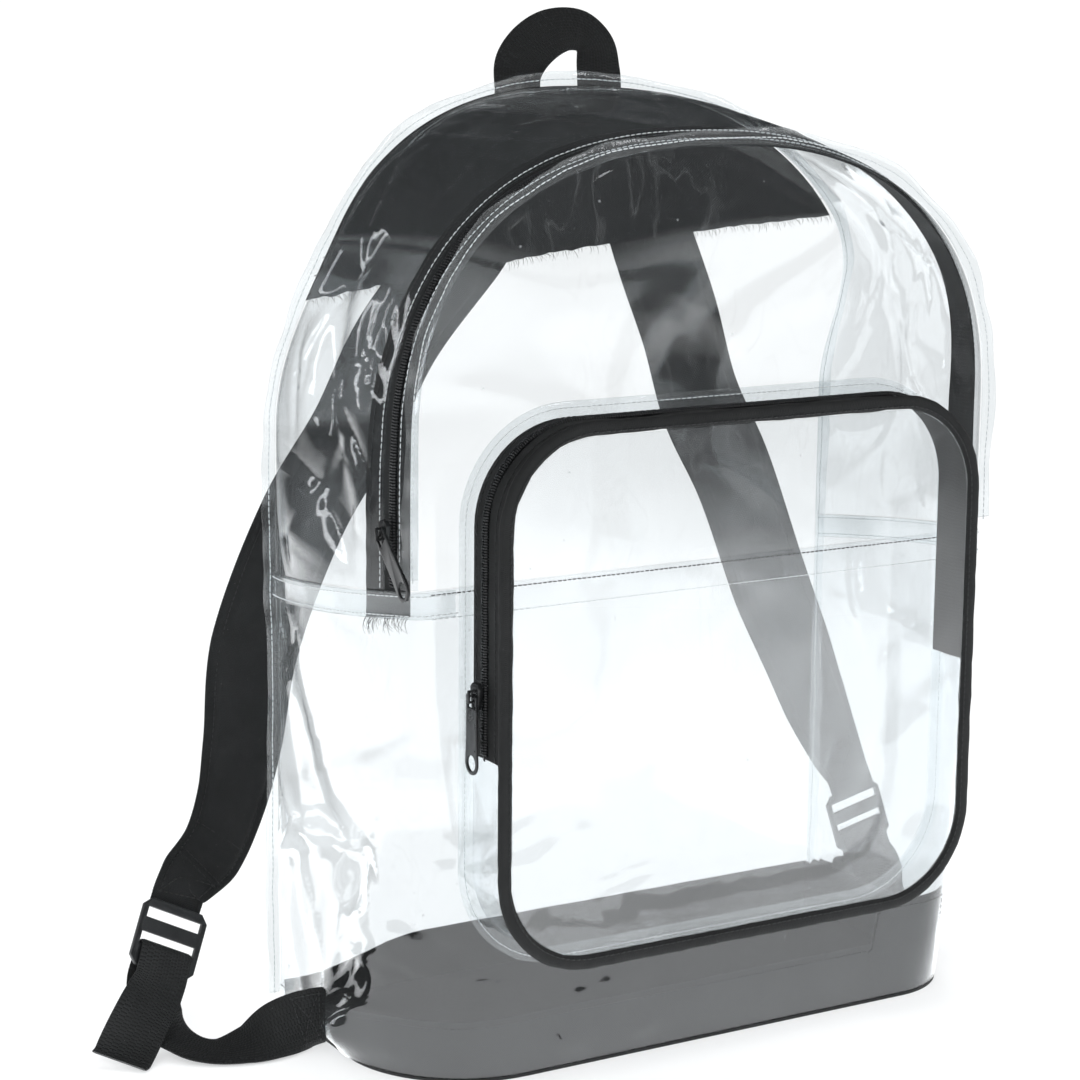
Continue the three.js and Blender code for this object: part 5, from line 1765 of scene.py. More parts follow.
@dataclass
class Seams:
    """Seam allowances that stand out from the shell, the hems of the middle seam, and their stitches."""

    form: BagForm
    bench: Workbench
    front_height: float = 7.0
    back_height: float = 6.0
    tucked: float = 1.0
    proud: float = 0.3
    row_drops: tuple[float, float] = (2.0, 13.0)
    wave: float = 0.22
    dome_steps: int = 20

    def arch_steps(self) -> Grid:
        """Shares of the arch where the allowance kinks."""
        bend = 0.14 + 0.72 * np.arange(1, self.dome_steps + 1) / self.dome_steps
        return np.concatenate([[0, 0.07, 0.14], bend, [0.93, 1.0]])

    def fin(
        self, arch: Arch, knots: Grid, height: float, waves: float,
        depth_at: Callable[[Grid, Grid], tuple[Grid, Grid]]
    ) -> tuple[Skin, Chain]:
        """One allowance and the path of its stitches.

        Args:
            arch: the outline that it stands on.
            knots: shares where it kinks.
            height: its mean height.
            waves: step of the kinks' rhythm.
            depth_at: rear and front Y of the allowance at X and Z.

        Returns:
            Its mesh and a row of stitches on its front face.
        """
        reach_at_knots = height * (1 + self.wave * np.sin(np.arange(len(knots)) * waves))
        t = np.linspace(knots[0], knots[-1], 420)
        x, z = arch.plan(t)
        out = arch.normal(t)
        foot = np.stack([x, np.zeros_like(x), z], -1) + out * self.form.gap
        reach = np.interp(t, knots, reach_at_knots) + 0.25 * Ripple(16, 8).at(foot)
        rear, fore = depth_at(x, z)
        section = [
            (0.0, 0.12), (0.0, 0.88), (0.5, 1.0), (0.93, 0.95), (1.0, 0.7), (1.0, 0.3), (0.93, 0.05),
            (0.5, 0.0)
        ]
        lean = 0.5 * Ripple(30, 9).at(foot)
        loops = np.stack(
            [
                foot + out * (reach * a)[:, None] + np.stack(
                    [0 * x, lerp(rear, fore, b) + lean * a, 0 * x], -1
                )
                for a, b in section
            ],
            axis=1
        )
        sewn = foot + out * (reach * 0.42)[:, None]
        sewn[:, 1] = fore + lean * 0.42 - 0.05
        return lofted(loops), (sewn, np.broadcast_to(point(0, -1, 0), sewn.shape))

    def front_depths(self, x: Grid, z: Grid) -> tuple[Grid, Grid]:
        """Rear and front Y of the front allowance."""
        edge = -self.form.half_depth
        return edge + self.tucked + 0 * x, edge - self.proud + 0 * x

    def back_depths(self, x: Grid, z: Grid) -> tuple[Grid, Grid]:
        """Rear and front Y of the back allowance, which follows the back panel."""
        edge = self.form.back_y(x, z)
        return edge - self.tucked, edge + self.proud

    def fins(self) -> list[Chain]:
        """Both allowances; returns their rows of stitches."""
        form, steps = self.form, self.arch_steps()
        knots = np.concatenate([[0.012], steps[1:-1], [0.988]])
        front, front_row = self.fin(form.front, knots, self.front_height, 2.1, self.front_depths)
        self.bench.piece("front_seam_allowance", front, Look.RIB, ["front_seam_fin"], sharp=50)
        low = (np.array([8, 60, 120, 175]) - form.back.foot) * 0.14 / (form.back.start - form.back.foot)
        knots = np.concatenate([low, steps, (1 - low)[::-1]])
        back, back_row = self.fin(form.back, knots, self.back_height, 1.7, self.back_depths)
        self.bench.piece("back_seam_allowance", back, Look.RIB, ["back_seam_fin"], sharp=50)
        points, _ = back_row
        return [front_row, (points + point(0, 0.1, 0), np.broadcast_to(point(0, 1, 0), points.shape))]

    def front_rows(self) -> list[Chain]:
        """Two rows of dark stitches along the middle seam of the front."""
        form = self.form
        rows = []
        for drop in self.row_drops:
            height = np.array([form.seam_front - drop])
            spots = [
                form.wrap(Part.FRONT, share, height, 0.8, form.panel_edge, False)
                for share in np.linspace(0.01, 0.99, 60)
            ]
            rows.append(
                (np.concatenate([spot for spot, _ in spots]), np.concatenate([out for _, out in spots]))
            )
        return rows

    def hems(self) -> list[Chain]:
        """Both clear bands under the middle seam; returns their rows of stitches."""
        form = self.form
        rows = []
        columns = wrap_columns(36, 12, np.concatenate([np.linspace(0, 0.045, 6), np.linspace(0.955, 1, 6)]))
        shares = np.linspace(1, 0, 7)
        for side in Side:
            kept = []
            for part, share in columns:
                spot = form.wrap(part, share, form.seam_front, 0, form.panel_edge, False)[0]
                if side.value * spot[0] > 129:
                    kept.append((part, share, spot[1]))
            faces = []
            for offset in (1.35, 0.45):
                grid = []
                for part, share, y in kept:
                    z = form.seam_height(y) - 0.6 - 12 * shares
                    lip = 0.35 * bell((shares - 0.08) / 0.1) + 0.3 * bell((shares - 0.95) / 0.08)
                    points, out = form.wrap(part, share, z, offset, form.panel_edge, False)
                    grid.append(points + out * (lip if offset > 1 else 0 * lip)[:, None])
                faces.append(np.stack(grid, axis=1))
            name = f"mid_seam_band_{side.name.lower()}"
            self.bench.piece(
                name, closed_sheet(*faces), Look.RIB, [f"mid_hem_{side.name.lower()}"], sharp=50
            )
            for drop in (1.6, 10.4):
                points, outs = [], []
                for part, share, y in kept:
                    spot, out = form.wrap(
                        part, share, np.array(form.seam_height(y) - 0.6 - drop), 1.6, form.panel_edge, False
                    )
                    points.append(spot)
                    outs.append(out)
                rows.append((np.array(points), np.array(outs)))
        return rows

    def build(self) -> None:
        """Makes the allowances, the bands and their stitches."""
        rows = self.fins() + self.hems()
        self.bench.sewn("seam_stitches", rows, Look.CLEAR_THREAD, 3.0, 0.6)
        self.bench.sewn(
            "front_middle_seam_stitches", self.front_rows()[:1], Look.BLACK_THREAD, 2.6, 0.75, 15
        )
        self.bench.sewn(
            "front_second_seam_stitches", self.front_rows()[1:], Look.CLEAR_THREAD, 3.2, 0.5, 16
        )


@dataclass
class BaseTub:
    """Black cloth tub inside the wrap, with its hem stitched through."""

    form: BagForm
    bench: Workbench
    floor: float = 1.4
    wall: float = 1.2
    inset: float = 1.6

    def height(self, x: Grid, y: Grid) -> Grid:
        """Height of the tub's wall by place along its outline."""
        front = np.where((x > 96) & (x < 148) & (y < 0), 50.0, 30.0)
        left = np.where((x < 0) & (y > -40), lerp(30, 14, smooth((y + 40) / 90)), front)
        return np.where(y > self.form.half_depth - 8, lerp(14, 27, smooth((x + 150) / 70)), left)

    def outline(self) -> list[tuple[Part, float]]:
        """Columns of the outline, close together where the flap starts and ends."""
        front = np.concatenate(
            [np.linspace(0, 0.885, 60), np.linspace(0.89, 0.905, 4), np.linspace(0.91, 1, 8)]
        )
        return wrap_columns(40, 16, front)

    def ring(self, offset: float, back_edge: float, level: Callable[[Grid, Grid], Grid]) -> Grid:
        """One closed loop of the tub.

        Args:
            offset: distance outwards from the wrap's plain outline.
            back_edge: Y of the back wall.
            level: height by X and Y.

        Returns:
            Points shaped (n, 3).
        """
        points = []
        for part, share in self.outline():
            base = self.form.wrap(part, share, np.array(0.0), offset, back_edge, False)[0]
            z = level(base[0], base[1])
            points.append(self.form.wrap(part, share, np.array(float(z)), offset, back_edge, False)[0])
        first, last = points[0], points[-1]
        for s in np.linspace(0, 1, 50)[1:-1]:
            x = lerp(last[0], first[0], s)
            points.append(point(x, back_edge, float(level(np.array(x), np.array(back_edge)))))
        return np.array(points)

    def build(self) -> None:
        """Makes the tub, its top hem line and the fray at its edge."""
        form = self.form
        edge = form.half_depth - self.inset
        sag = Ripple(24, 15)
        loops = [
            self.ring(0, form.half_depth, lambda x, y: 0 * x),
            self.ring(0, form.half_depth, lambda x, y: 0 * x + self.floor)
        ]
        outer = [
            self.ring(
                -self.inset, edge, lambda x, y, s=s: lerp(self.floor, self.height(x, y), s)
            ) for s in np.linspace(0, 1, 9)
        ]
        inner = [
            self.ring(
                -self.inset - self.wall, edge - self.wall, lambda x, y,
                s=s: lerp(self.floor, self.height(x, y), s)
            ) for s in np.linspace(1, 0, 7)
        ]
        middle = np.array([0, 0, 0])
        for group in (outer, inner):
            for k, loop in enumerate(group):
                away = unit((loop - middle) * point(1, 1, 0))
                share = smooth(loop[:, 2] / 20)
                loop -= away * (0.35 * (1 + sag.at(loop)) * share)[:, None]
        self.bench.piece(
            "base_tub_cloth", lofted(np.array(loops + outer + inner)), Look.BASE, ["base_tub"], sharp=40
        )
        rows = []
        for drop in (3.0, 8.5):
            row = self.ring(-self.inset + 1.1, edge + 1.1, lambda x, y: self.height(x, y) - drop)
            outs = unit((row - middle) * point(1, 1, 0))
            rows.append((row, outs))
        top = outer[-1]
        self.bench.sewn("tub_stitches", rows[:1], Look.BLACK_THREAD, 3.4, 0.6)
        ordered = top[::-1]
        self.bench.frayed(
            "tub_edge_fibres", [(ordered, unit(ordered * point(1, 1, 0)))], Look.BLACK_THREAD, 1.1, 2.2, 6
        )


@dataclass
class BackYoke:
    """Black cloth over the top of the back, with a cut lower edge that frays."""

    form: BagForm
    bench: Workbench
    left: float = 354.0
    right: float = 384.0

    def grid(self, offset: float) -> Grid:
        """Points of one face."""
        arch = self.form.back
        low_left, low_right = arch.step_at(self.left), arch.step_at(self.right)
        rows = []
        for share in np.linspace(0, 1, 60):
            xa, za = arch.plan(lerp(low_left, 0.5, share))
            xb, zb = arch.plan(1 - lerp(low_right, 0.5, share))
            s = np.linspace(0, 1, 90)
            x, z = lerp(xa, xb, s) * 0.994, lerp(za, zb, s)
            if share == 0:
                z = z + 0.5 * Ripple(9, 3).at(np.stack([x, 0 * x, z], -1))
            rows.append(np.stack([x, self.form.back_y(x, z) + offset, z], -1))
        return np.array(rows)

    def build(self) -> None:
        """Makes the cloth, its stitches and its frayed edge."""
        outer, inner = self.grid(2.05), self.grid(0.95)
        ripple = Ripple(34, 12).at(outer)
        free = smooth((440 - outer[..., 2]) / 30) * smooth((140 - np.abs(outer[..., 0])) / 25)
        outer[..., 1] += 0.25 * (ripple + 1) * free
        self.bench.piece("back_yoke_cloth", closed_sheet(outer, inner), Look.BASE, ["back_yoke"], sharp=50)
        edge = outer[0] - point(0, 0.5, 0)
        behind = np.broadcast_to(point(0, 1, 0), edge.shape)
        self.bench.frayed("yoke_edge_fibres", [(edge, behind)], Look.BLACK_THREAD, 0.8, 3.0, 4)
        rows = [outer[k] + point(0, 0.15, 0) for k in (4, 7)]
        self.bench.sewn(
            "yoke_stitches", [(r, np.broadcast_to(point(0, 1, 0), r.shape)) for r in rows],
            Look.BLACK_THREAD
        )


@dataclass
class MainZip:
    """Zip of the main compartment: tape, coil, slider and pull."""

    form: BagForm
    bench: Workbench
    tape_out: float = -1.5
    tape_thick: float = 0.8
    below: float = 12.0

    def build(self) -> None:
        """Makes the whole zip."""
        form = self.form
        low = -0.14 * self.below / (form.front.start - form.seam_front)
        t = np.concatenate(
            [np.linspace(low, 0, 14)[:-1], np.linspace(0, 1, 300), np.linspace(1, 1 - low, 14)[1:]]
        )[:, None]
        w = np.array([form.behind(d) for d in np.linspace(34, 6, 25)])[None]
        distance = np.linspace(34, 6, 25)[None]
        relief = 0.25 * bell((distance - 15) / 4.5) - 0.2 * bell(
            (distance - 22.5) / 1.2
        ) + 0.12 * np.sin(t * 190) * smooth((distance - 24) / 8)
        outer, out = form.gusset(t, w, self.tape_out + relief)
        inner, _ = form.gusset(t, w, self.tape_out - self.tape_thick)
        self.bench.piece(
            "main_zip_tape_cloth", closed_sheet(outer, inner), Look.TAPE, ["main_zip_tape"], sharp=50
        )
        along = np.linspace(0.004, 0.996, 420)
        centre, outs = form.gusset(along, np.full_like(along, form.behind(15)), self.tape_out + 0.25)
        self.bench.coil("main_zip_teeth", (centre, outs), 4.6, 1.35, "main_zip_coil")
        rows = []
        for distance, lift in ((30.5, 0.1), (22.2, 1.55), (9.6, 1.55)):
            row, sides = form.gusset(
                along, np.full_like(along, form.behind(distance)), self.tape_out + lift
            )
            rows.append((row, sides))
        self.bench.sewn("main_zip_stitches", rows[:1], Look.BLACK_THREAD, 3.0, 0.55)
        self.bench.sewn("main_zip_edge_stitches", rows[1:], Look.CLEAR_THREAD, 3.0, 0.5)
        frays = []
        for row in (0, -1):
            line = outer[row][::-1] if row == 0 else outer[row]
            frays.append((line, out[row][::-1] if row == 0 else out[row]))
        self.bench.frayed("main_zip_tape_fibres", frays, Look.BLACK_THREAD, 0.55, 5.5, 9, 2.0)
        self.bench.hard("main_slider", "main_zip_slider", Look.PAINTED, "bag", 0.35)
        self.bench.hard("main_pull", "main_zip_pull", Look.PAINTED, "main_pull", 0.28)


@dataclass
class FrontPocket:
    """Zipped pocket on the front: flange, wall, tape, coil, piping and clear face."""

    form: BagForm
    bench: Workbench
    half: float = 130.5
    centre: float = 0.5
    bottom: float = 61.0
    top: float = 310.0
    corner: float = 46.0
    depth: float = 30.0
    zip_left: float = 160.0
    zip_right: float = 179.0

    def loop(self, inset: float) -> Grid:
        """The outline, a rounded rectangle from the bottom middle round the left side.

        Args:
            inset: distance inwards.

        Returns:
            X and Z of each place.
        """
        half, radius = self.half - inset, self.corner - inset
        low, high = self.bottom + self.corner, self.top - self.corner
        spots = []
        for x in np.linspace(half - radius, -half + radius, 40)[1:-1]:
            spots.append((x, self.bottom + inset))
        for cx, cz, start in (
            (-half + radius, low, -90), (-half + radius, high, 180), (half - radius, high, 90),
            (half - radius, low, 0)
        ):
            for k in range(15):
                a = math.radians(start - 90 * k / 14)
                spots.append((cx + radius * math.cos(a), cz + radius * math.sin(a)))
            if start == -90:
                spots += [(-half, z) for z in np.linspace(low, high, 30)[1:-1]]
            elif start == 180:
                spots += [
                    (x, self.top - inset)
                    for x in np.linspace(-half + radius, half - radius, 40)[1:-1]
                ]
            elif start == 90:
                spots += [(half, z) for z in np.linspace(high, low, 30)[1:-1]]
        return np.array(spots) + np.array([self.centre, 0.0])

    def run(self, inset: float, over_top: bool) -> Grid:
        """Part of the outline over the top, or round the bottom, between the ends of the zip.

        Args:
            inset: distance inwards.
            over_top: which part.

        Returns:
            X and Z of each place.
        """
        loop, half = self.loop(inset), self.half - inset
        limit = np.where(loop[:, 0] < self.centre, self.zip_left, self.zip_right)
        is_top = loop[:, 1] > limit
        first = int(np.argmax(is_top))
        rolled, flags = np.roll(loop, -first, axis=0), np.roll(is_top, -first)
        left, right = [[self.centre - half, self.zip_left]], [[self.centre + half, self.zip_right]]
        if over_top:
            return np.concatenate([left, rolled[flags], right])
        return np.concatenate([right, rolled[~flags], left])

    def wall(self, name: str, node: str, look: Look, over_top: bool, shift: float) -> None:
        """One stretch of the pocket's side wall.

        Args:
            name: the piece's name.
            node: the CAD node that it replaces.
            look: its finish.
            over_top: whether it is the stretch over the top.
            shift: height added to its ends.
        """
        faces = []
        shares = np.linspace(0, 1, 11)
        for inset in (0.0, 0.8):
            run = self.run(inset, over_top)
            run[0, 1] += shift
            run[-1, 1] += shift
            near = self.form.body_front(run[:, 0], run[:, 1]) - 1.7
            y = lerp(near[:, None], -96.45, shares[None])
            grid = np.stack([np.repeat(run[:, :1], 11, 1), y, np.repeat(run[:, 1:], 11, 1)], -1)
            away = unit(np.stack([run[:, 0] - self.centre, 0 * run[:, 0], run[:, 1] - 185], -1))[:, None]
            bow = 0.5 * np.sin(math.pi * shares)[None] * (0.4 + Ripple(30, 17).at(grid))
            faces.append(grid + away * np.clip(bow, -0.6, 0.6)[..., None])
        self.bench.piece(name, closed_sheet(*faces), look, [node], sharp=50)

    def flange(self) -> None:
        """Clear band sewn flat to the front round the pocket."""
        inner, outer = self.loop(0.5), self.loop(-7.0)
        loops = []
        for k in range(len(inner)):
            (xa, za), (xb, zb) = inner[k], outer[k]
            near, far = (float(self.form.body_front(x, z)) - 0.45 for x, z in ((xa, za), (xb, zb)))
            loops.append(
                [
                    (xa, near, za), (xb, far, zb), (xb, far - 0.6, zb),
                    (lerp(xa, xb, 0.9), lerp(near, far, 0.9) - 0.95, lerp(za, zb, 0.9)),
                    (xa, near - 0.9, za)
                ]
            )
        self.bench.piece(
            "pocket_sewing_band", lofted(np.array(loops), True), Look.RIB, ["pocket_flange"], sharp=50
        )

    def piping(self) -> None:
        """Black bound edge round the pocket's face."""
        middle, outer = self.loop(1.2), self.loop(-2.2)
        away = outer - middle
        angles = np.arange(14) * 2 * math.pi / 14
        uneven = 1 + 0.06 * Ripple(14, 30).at(np.stack([middle[:, 0], 0 * middle[:, 0], middle[:, 1]], -1))
        loops = []
        for (x, z), (dx, dz), swell in zip(middle, away, uneven):
            ring = []
            for a in angles:
                c, s = math.cos(a), math.sin(a)
                wide = math.copysign(abs(c) ** 0.75, c) * swell
                high = math.copysign(abs(s) ** 0.75, s)
                ring.append((x + dx * wide, -98.4 + 1.6 * high, z + dz * wide))
            loops.append(ring)
        self.bench.piece(
            "pocket_binding", lofted(np.array(loops), True), Look.BINDING, ["pocket_piping"], sharp=60
        )

    def face(self) -> None:
        """Clear sheet of the pocket's face."""
        inset = 4.95
        half, radius = self.half - inset, self.corner - inset
        top, bottom = self.top - inset, self.bottom + inset
        rises = radius * (1 - np.cos(np.linspace(0, math.pi / 2, 26)))
        levels = np.concatenate(
            [bottom + rises, np.linspace(bottom + radius, top - radius, 50)[1:-1], (top - rises)[::-1]]
        )
        into = np.maximum.reduce([bottom + radius - levels, levels - top + radius, 0 * levels])
        reach = half - radius + np.sqrt(np.maximum(radius**2 - into**2, 0))
        shares = np.linspace(-1, 1, 101)
        x = self.centre + reach[:, None] * shares[None]
        z = np.repeat(levels[:, None], len(shares), axis=1)
        puff = 2.4 * smooth((1 - np.abs(shares[None])) / 0.5) * smooth(np.minimum(z - bottom, top - z) / 70)
        grid = np.stack([x, -99.1 - puff, z], -1)
        inside = smooth((1 - np.abs(shares[None])) / 0.3) * smooth(np.minimum(z - bottom, top - z) / 40)
        folds = Crinkles(24, 65, 0.5, 0.8, (20, 70), (5, 16), (-1.0, 1.0)).at(grid[..., 2], grid[..., 0])
        grid[..., 1] += inside * (0.4 * Ripple(80, 41).at(grid) + 0.7 * folds)
        self.bench.piece(
            "pocket_clear_face", closed_sheet(grid, grid + point(0, 0.7, 0)), Look.POCKET_VINYL,
            ["pocket_front"], sharp=60
        )

    def zip(self) -> None:
        """Coil, slider, pull and stitches of the pocket's zip."""
        run = self.run(-0.45, True)
        run[0, 1] += 2
        run[-1, 1] += 2
        centre = np.stack([run[:, 0], np.full(len(run), -83.0), run[:, 1]], -1)
        nearby = np.gradient(run, axis=0)
        outs = unit(np.stack([-nearby[:, 1], 0 * nearby[:, 0], nearby[:, 0]], -1))
        self.bench.coil("pocket_zip_teeth", (centre, outs), 4.2, 1.25, "pocket_zip_coil")
        self.bench.hard("pocket_slider", "pocket_zip_slider", Look.PAINTED, "bag", 0.35)
        self.bench.hard("pocket_pull", "pocket_zip_pull", Look.PAINTED, "pocket_pull", 0.28)
        rows = [(centre + point(0, d, 0) + outs * 0.1, outs) for d in (-9.0, 8.0)]
        self.bench.sewn("pocket_tape_stitches", rows, Look.BLACK_THREAD, 3.0, 0.5)

    def stitches(self) -> None:
        """Stitches on the sewing band and through the binding."""
        band = self.loop(-4.2)
        near = self.form.body_front(band[:, 0], band[:, 1]) - 1.42
        row = np.stack([band[:, 0], near, band[:, 1]], -1)
        forward = np.broadcast_to(point(0, -1, 0), row.shape)
        self.bench.sewn(
            "pocket_band_stitches",
            [(np.concatenate([row, row[:1]]), np.concatenate([forward, forward[:1]]))], Look.CLEAR_THREAD,
            3.0, 0.55
        )
        bound = self.loop(2.9)
        row = np.stack([bound[:, 0], np.full(len(bound), -99.95), bound[:, 1]], -1)
        self.bench.sewn(
            "pocket_binding_stitches",
            [(np.concatenate([row, row[:1]]), np.concatenate([forward, forward[:1]]))], Look.BLACK_THREAD,
            3.0, 0.6
        )

    def build(self) -> None:
        """Makes the whole pocket."""
        self.flange()
        self.wall("pocket_clear_wall", "pocket_wall", Look.VINYL, False, -0.35)
        self.wall("pocket_zip_tape_cloth", "pocket_zip_tape", Look.TAPE, True, 0.0)
        self.piping()
        self.face()
        self.zip()
        self.stitches()


def box_and_cross(ribbon: Ribbon, start: float, end: float, reach: float, face: int) -> list[Chain]:
    """Stitched box with a cross in it on one face of a band.

    Args:
        ribbon: the band.
        start: first distance along it.
        end: last distance along it.
        reach: share of the half width that the box takes.
        face: the face that it is on.

    Returns:
        The rows of stitches.
    """
    corners = [(start, -reach), (start, reach), (end, reach), (end, -reach)]
    lines = [
        (corners[i], corners[(i + 1) % 4])
        for i in range(4)
    ] + [(corners[0], corners[2]), (corners[1], corners[3])]
    chains = []
    for (ra, aa), (rb, ab) in lines:
        s = np.linspace(0, 1, 12)
        chains.append(ribbon.place(lerp(ra, rb, s), lerp(aa, ab, s), face, 0.12))
    return chains


@dataclass
class HaulHandle:
    """Loop of webbing sewn on the yoke."""

    form: BagForm
    bench: Workbench
    wide: float = 25.0
    thick: float = 1.6

    def flat(self, x: float, z: float, sign: float) -> Row:
        """Row of a leg that lies on the yoke."""
        half = self.wide / 2
        proud = max(float(self.form.back_y(px, z)) for px in (x - half, x + half, x))
        return Row(point(x, proud + 2.05 + 0.65 + self.thick / 2, z), point(sign, 0, 0), half, self.thick)

    def build(self) -> None:
        """Makes the loop and its stitches."""
        half = self.wide / 2
        table = [
            (-26, 71, 460, -0.88, 0.25, 0.4),
            (-15, 75, 471, -0.5, 0.5, 0.7),
            (1, 78, 478, -0.1, 0.6, 0.8),
            (14, 77, 477, 0.45, 0.45, 0.75),
            (20, 74, 470, 0.85, 0.25, 0.4),
            (20, 71, 460, 1, 0.05, 0.08),
        ]
        loop = [Row(point(x, y, z), unit([wx, wy, wz]), half, self.thick) for x, y, z, wx, wy, wz in table]
        rows = [
            self.flat(-29, 436, -1), self.flat(-29, 449, -1), *loop, self.flat(18.5, 449, 1),
            self.flat(18.5, 436, 1)
        ]
        ribbon = Ribbon(smooth_rows(rows, 10), self.thick)
        self.bench.piece("haul_handle_webbing", ribbon.skin(16), Look.WEBBING, ["haul_handle"], sharp=60)
        total = ribbon.run[-1]
        chains = []
        for start, end in ((2.0, 12.0), (total - 12.0, total - 2.0)):
            for face in (1, -1):
                chains += box_and_cross(ribbon, start, end, 0.78, face)
        self.bench.sewn("haul_handle_stitches", chains, Look.BLACK_THREAD, 2.6, 0.6)


@dataclass
class ShoulderStrap:
    """One strap: padded upper part, ladder buckle, and webbing from the base through the buckle."""

    form: BagForm
    bench: Workbench
    side: Side
    lower: tuple
    centre: Grid
    down: Grid
    across: Grid
    root_y: float
    root_gap: float
    tail: tuple
    web: float = 28.0
    web_thick: float = 1.4
    pad_thick: float = 5.5
    upper: tuple = (
        (56, 74, 371, 0.85, 0.5), (84, 90, 326, 0.93, 0.36), (103, 98, 283, 0.97, 0.25),
        (129, 103, 240, 0.98, 0.2), (156, 104, 176, 0.95, 0.3)
    )
    load: tuple = (
        (1.0, 1.0, 14.9, 0, 0, 1),
        (0.86, 1.0, 14.6, 0, 0.15, 0.98),
        (0.62, 0.98, 11.6, 0, 0.62, 0.76),
        (0.36, 0.88, 5.4, -0.2, 0.94, 0.26),
        (0.12, 0.70, 2.6, -0.65, 0.75, 0.03),
        (-0.04, 0.42, 5.2, -0.84, 0.5, -0.12),
        (-0.14, 0.24, 14, -0.9, 0.1, -0.3),
    )

    def __post_init__(self) -> None:
        """Works out the buckle's directions."""
        self.sign = self.side.value
        self.name = self.side.name.lower()
        self.d = unit(self.down)
        self.w = unit(self.across - self.d * (self.across @ self.d))
        self.n = unit(np.cross(self.d, self.w))

    def on_buckle(self, along: float, out: float) -> Grid:
        """Place by distance down the strap from the buckle's middle, and out from its face."""
        return self.centre + self.d * along + self.n * out

    def pad_rows(self) -> list[Row]:
        """Rows of the padded part, from its seat on the yoke to the buckle's top bar."""
        wide = self.w if self.sign < 0 else -self.w
        seat = 2.05 + 0.45 + self.pad_thick * 0.3
        slope = float(self.form.back_y(39, 402) - self.form.back_y(37, 402)) / 2
        turned = unit([0.86, self.sign * slope, self.sign * 0.5])
        rows = [
            Row(
                point(self.sign * 38, float(self.form.back_y(38, 402)) + seat, 402), turned, 24,
                self.pad_thick * 0.6
            ),
            Row(
                point(self.sign * 46, float(self.form.back_y(46, 389)) + seat + 2.2, 389), turned, 24.5,
                self.pad_thick * 0.8
            ),
        ]
        rows += [
            Row(point(self.sign * x, y, z), unit([wx, 0, self.sign * wz]), 24.5, self.pad_thick)
            for x, y, z, wx, wz in self.upper
        ]
        rows += [
            Row(point(x, y, z), unit([wx, wy, wz]), half, self.pad_thick * (1 - 0.2 * k))
            for k, (x, y, z, wx, wy, wz, half) in enumerate(self.lower)
        ]
        rows += [
            Row(self.on_buckle(along, out), wide, self.web / 2, self.web_thick)
            for along, out in ((-27, -1), (-20, -2.2), (-14.5, -2.4))
        ]
        return rows

    def pad(self) -> None:
        """Padded cloth strap with bound edges, seam grooves and stitches."""
        ribbon = Ribbon(smooth_rows(self.pad_rows(), 14), 1.35, crowned=True, uneven=0.35)
        obj = self.bench.piece(
            f"strap_{self.name}_pad_cloth", ribbon.skin(44), Look.PAD, [f"strap_{self.name}_pad"], sharp=60
        )
        total = ribbon.run[-1]
        run = np.linspace(3, total - 30, 260)
        chains = [
            ribbon.place(run, np.full_like(run, a), face, 0.05)
            for a in (-0.79, 0.79) for face in (1, -1)
        ]
        across = np.linspace(-0.78, 0.78, 20)
        for back in (52, 30):
            chains += [
                ribbon.place(np.full_like(across, total - back), across, face, 0.1)
                for face in (1, -1)
            ]
        for face in (1, -1):
            chains += box_and_cross(ribbon, total - 26, total - 8, 0.75, face)
        self.bench.sewn(f"strap_{self.name}_pad_stitches", chains, Look.BLACK_THREAD, 3.0, 0.6)

    def side_reach(self) -> float:
        """Outermost X of the wrap along the edge where the webbing is sewn in."""
        best = 0.0
        part = Part.LEFT_SIDE if self.side is Side.LEFT else Part.RIGHT_SIDE
        for z in np.linspace(1.9, self.web + 1, 7):
            radius = float(self.form.corner_radius(self.side, z))
            share = (self.form.panel_edge - self.root_y) / (
                self.form.panel_edge + self.form.half_depth - radius
            )
            best = max(
                best, abs(self.form.wrap(part, share, np.array(z), 0, self.form.panel_edge, True)[0][0])
            )
        return best

    def webbing(self) -> None:
        """Webbing from the base, through the buckle and down as the free tail."""
        root = point(self.sign * (self.side_reach() + self.root_gap), self.root_y, 0)
        half = self.web / 2
        rows = []
        for sx, sy, z, wx, wy, wz in self.load:
            at = point(lerp(self.centre[0], root[0], sx), lerp(self.centre[1], root[1], sy), z)
            rows.append(Row(at, unit([self.sign * wx, wy, wz]), half, self.web_thick))
        turn = [(22, 3.3), (9, 2.5), (5.7, 2.1), (4.6, 1.2), (4.2, 0)]
        rows += [Row(self.on_buckle(a, -o), self.w, half, self.web_thick) for a, o in turn]
        rows += [Row(self.on_buckle(a, o), self.w, half, self.web_thick) for a, o in turn[:-1][::-1]]
        rows += [
            Row(point(x, y, z), unit([wx, wy, wz]), half, self.web_thick)
            for x, y, z, wx, wy, wz in self.tail
        ]
        rows[-1].thick = 2.6
        ribbon = Ribbon(smooth_rows(rows, 8), self.web_thick)
        self.bench.piece(
            f"strap_{self.name}_lower_webbing", ribbon.skin(16), Look.WEBBING,
            [f"strap_{self.name}_webbing"], sharp=60
        )
        total = ribbon.run[-1]
        across = np.linspace(-0.9, 0.9, 16)
        chains = [
            ribbon.place(np.full_like(across, r), across, face, 0.08)
            for r in (total - 3.0, total - 5.2) for face in (1, -1)
        ]
        chains += box_and_cross(ribbon, 3, 14, 0.8, 1) + box_and_cross(ribbon, 3, 14, 0.8, -1)
        self.bench.sewn(f"strap_{self.name}_webbing_stitches", chains, Look.BLACK_THREAD, 2.6, 0.6)

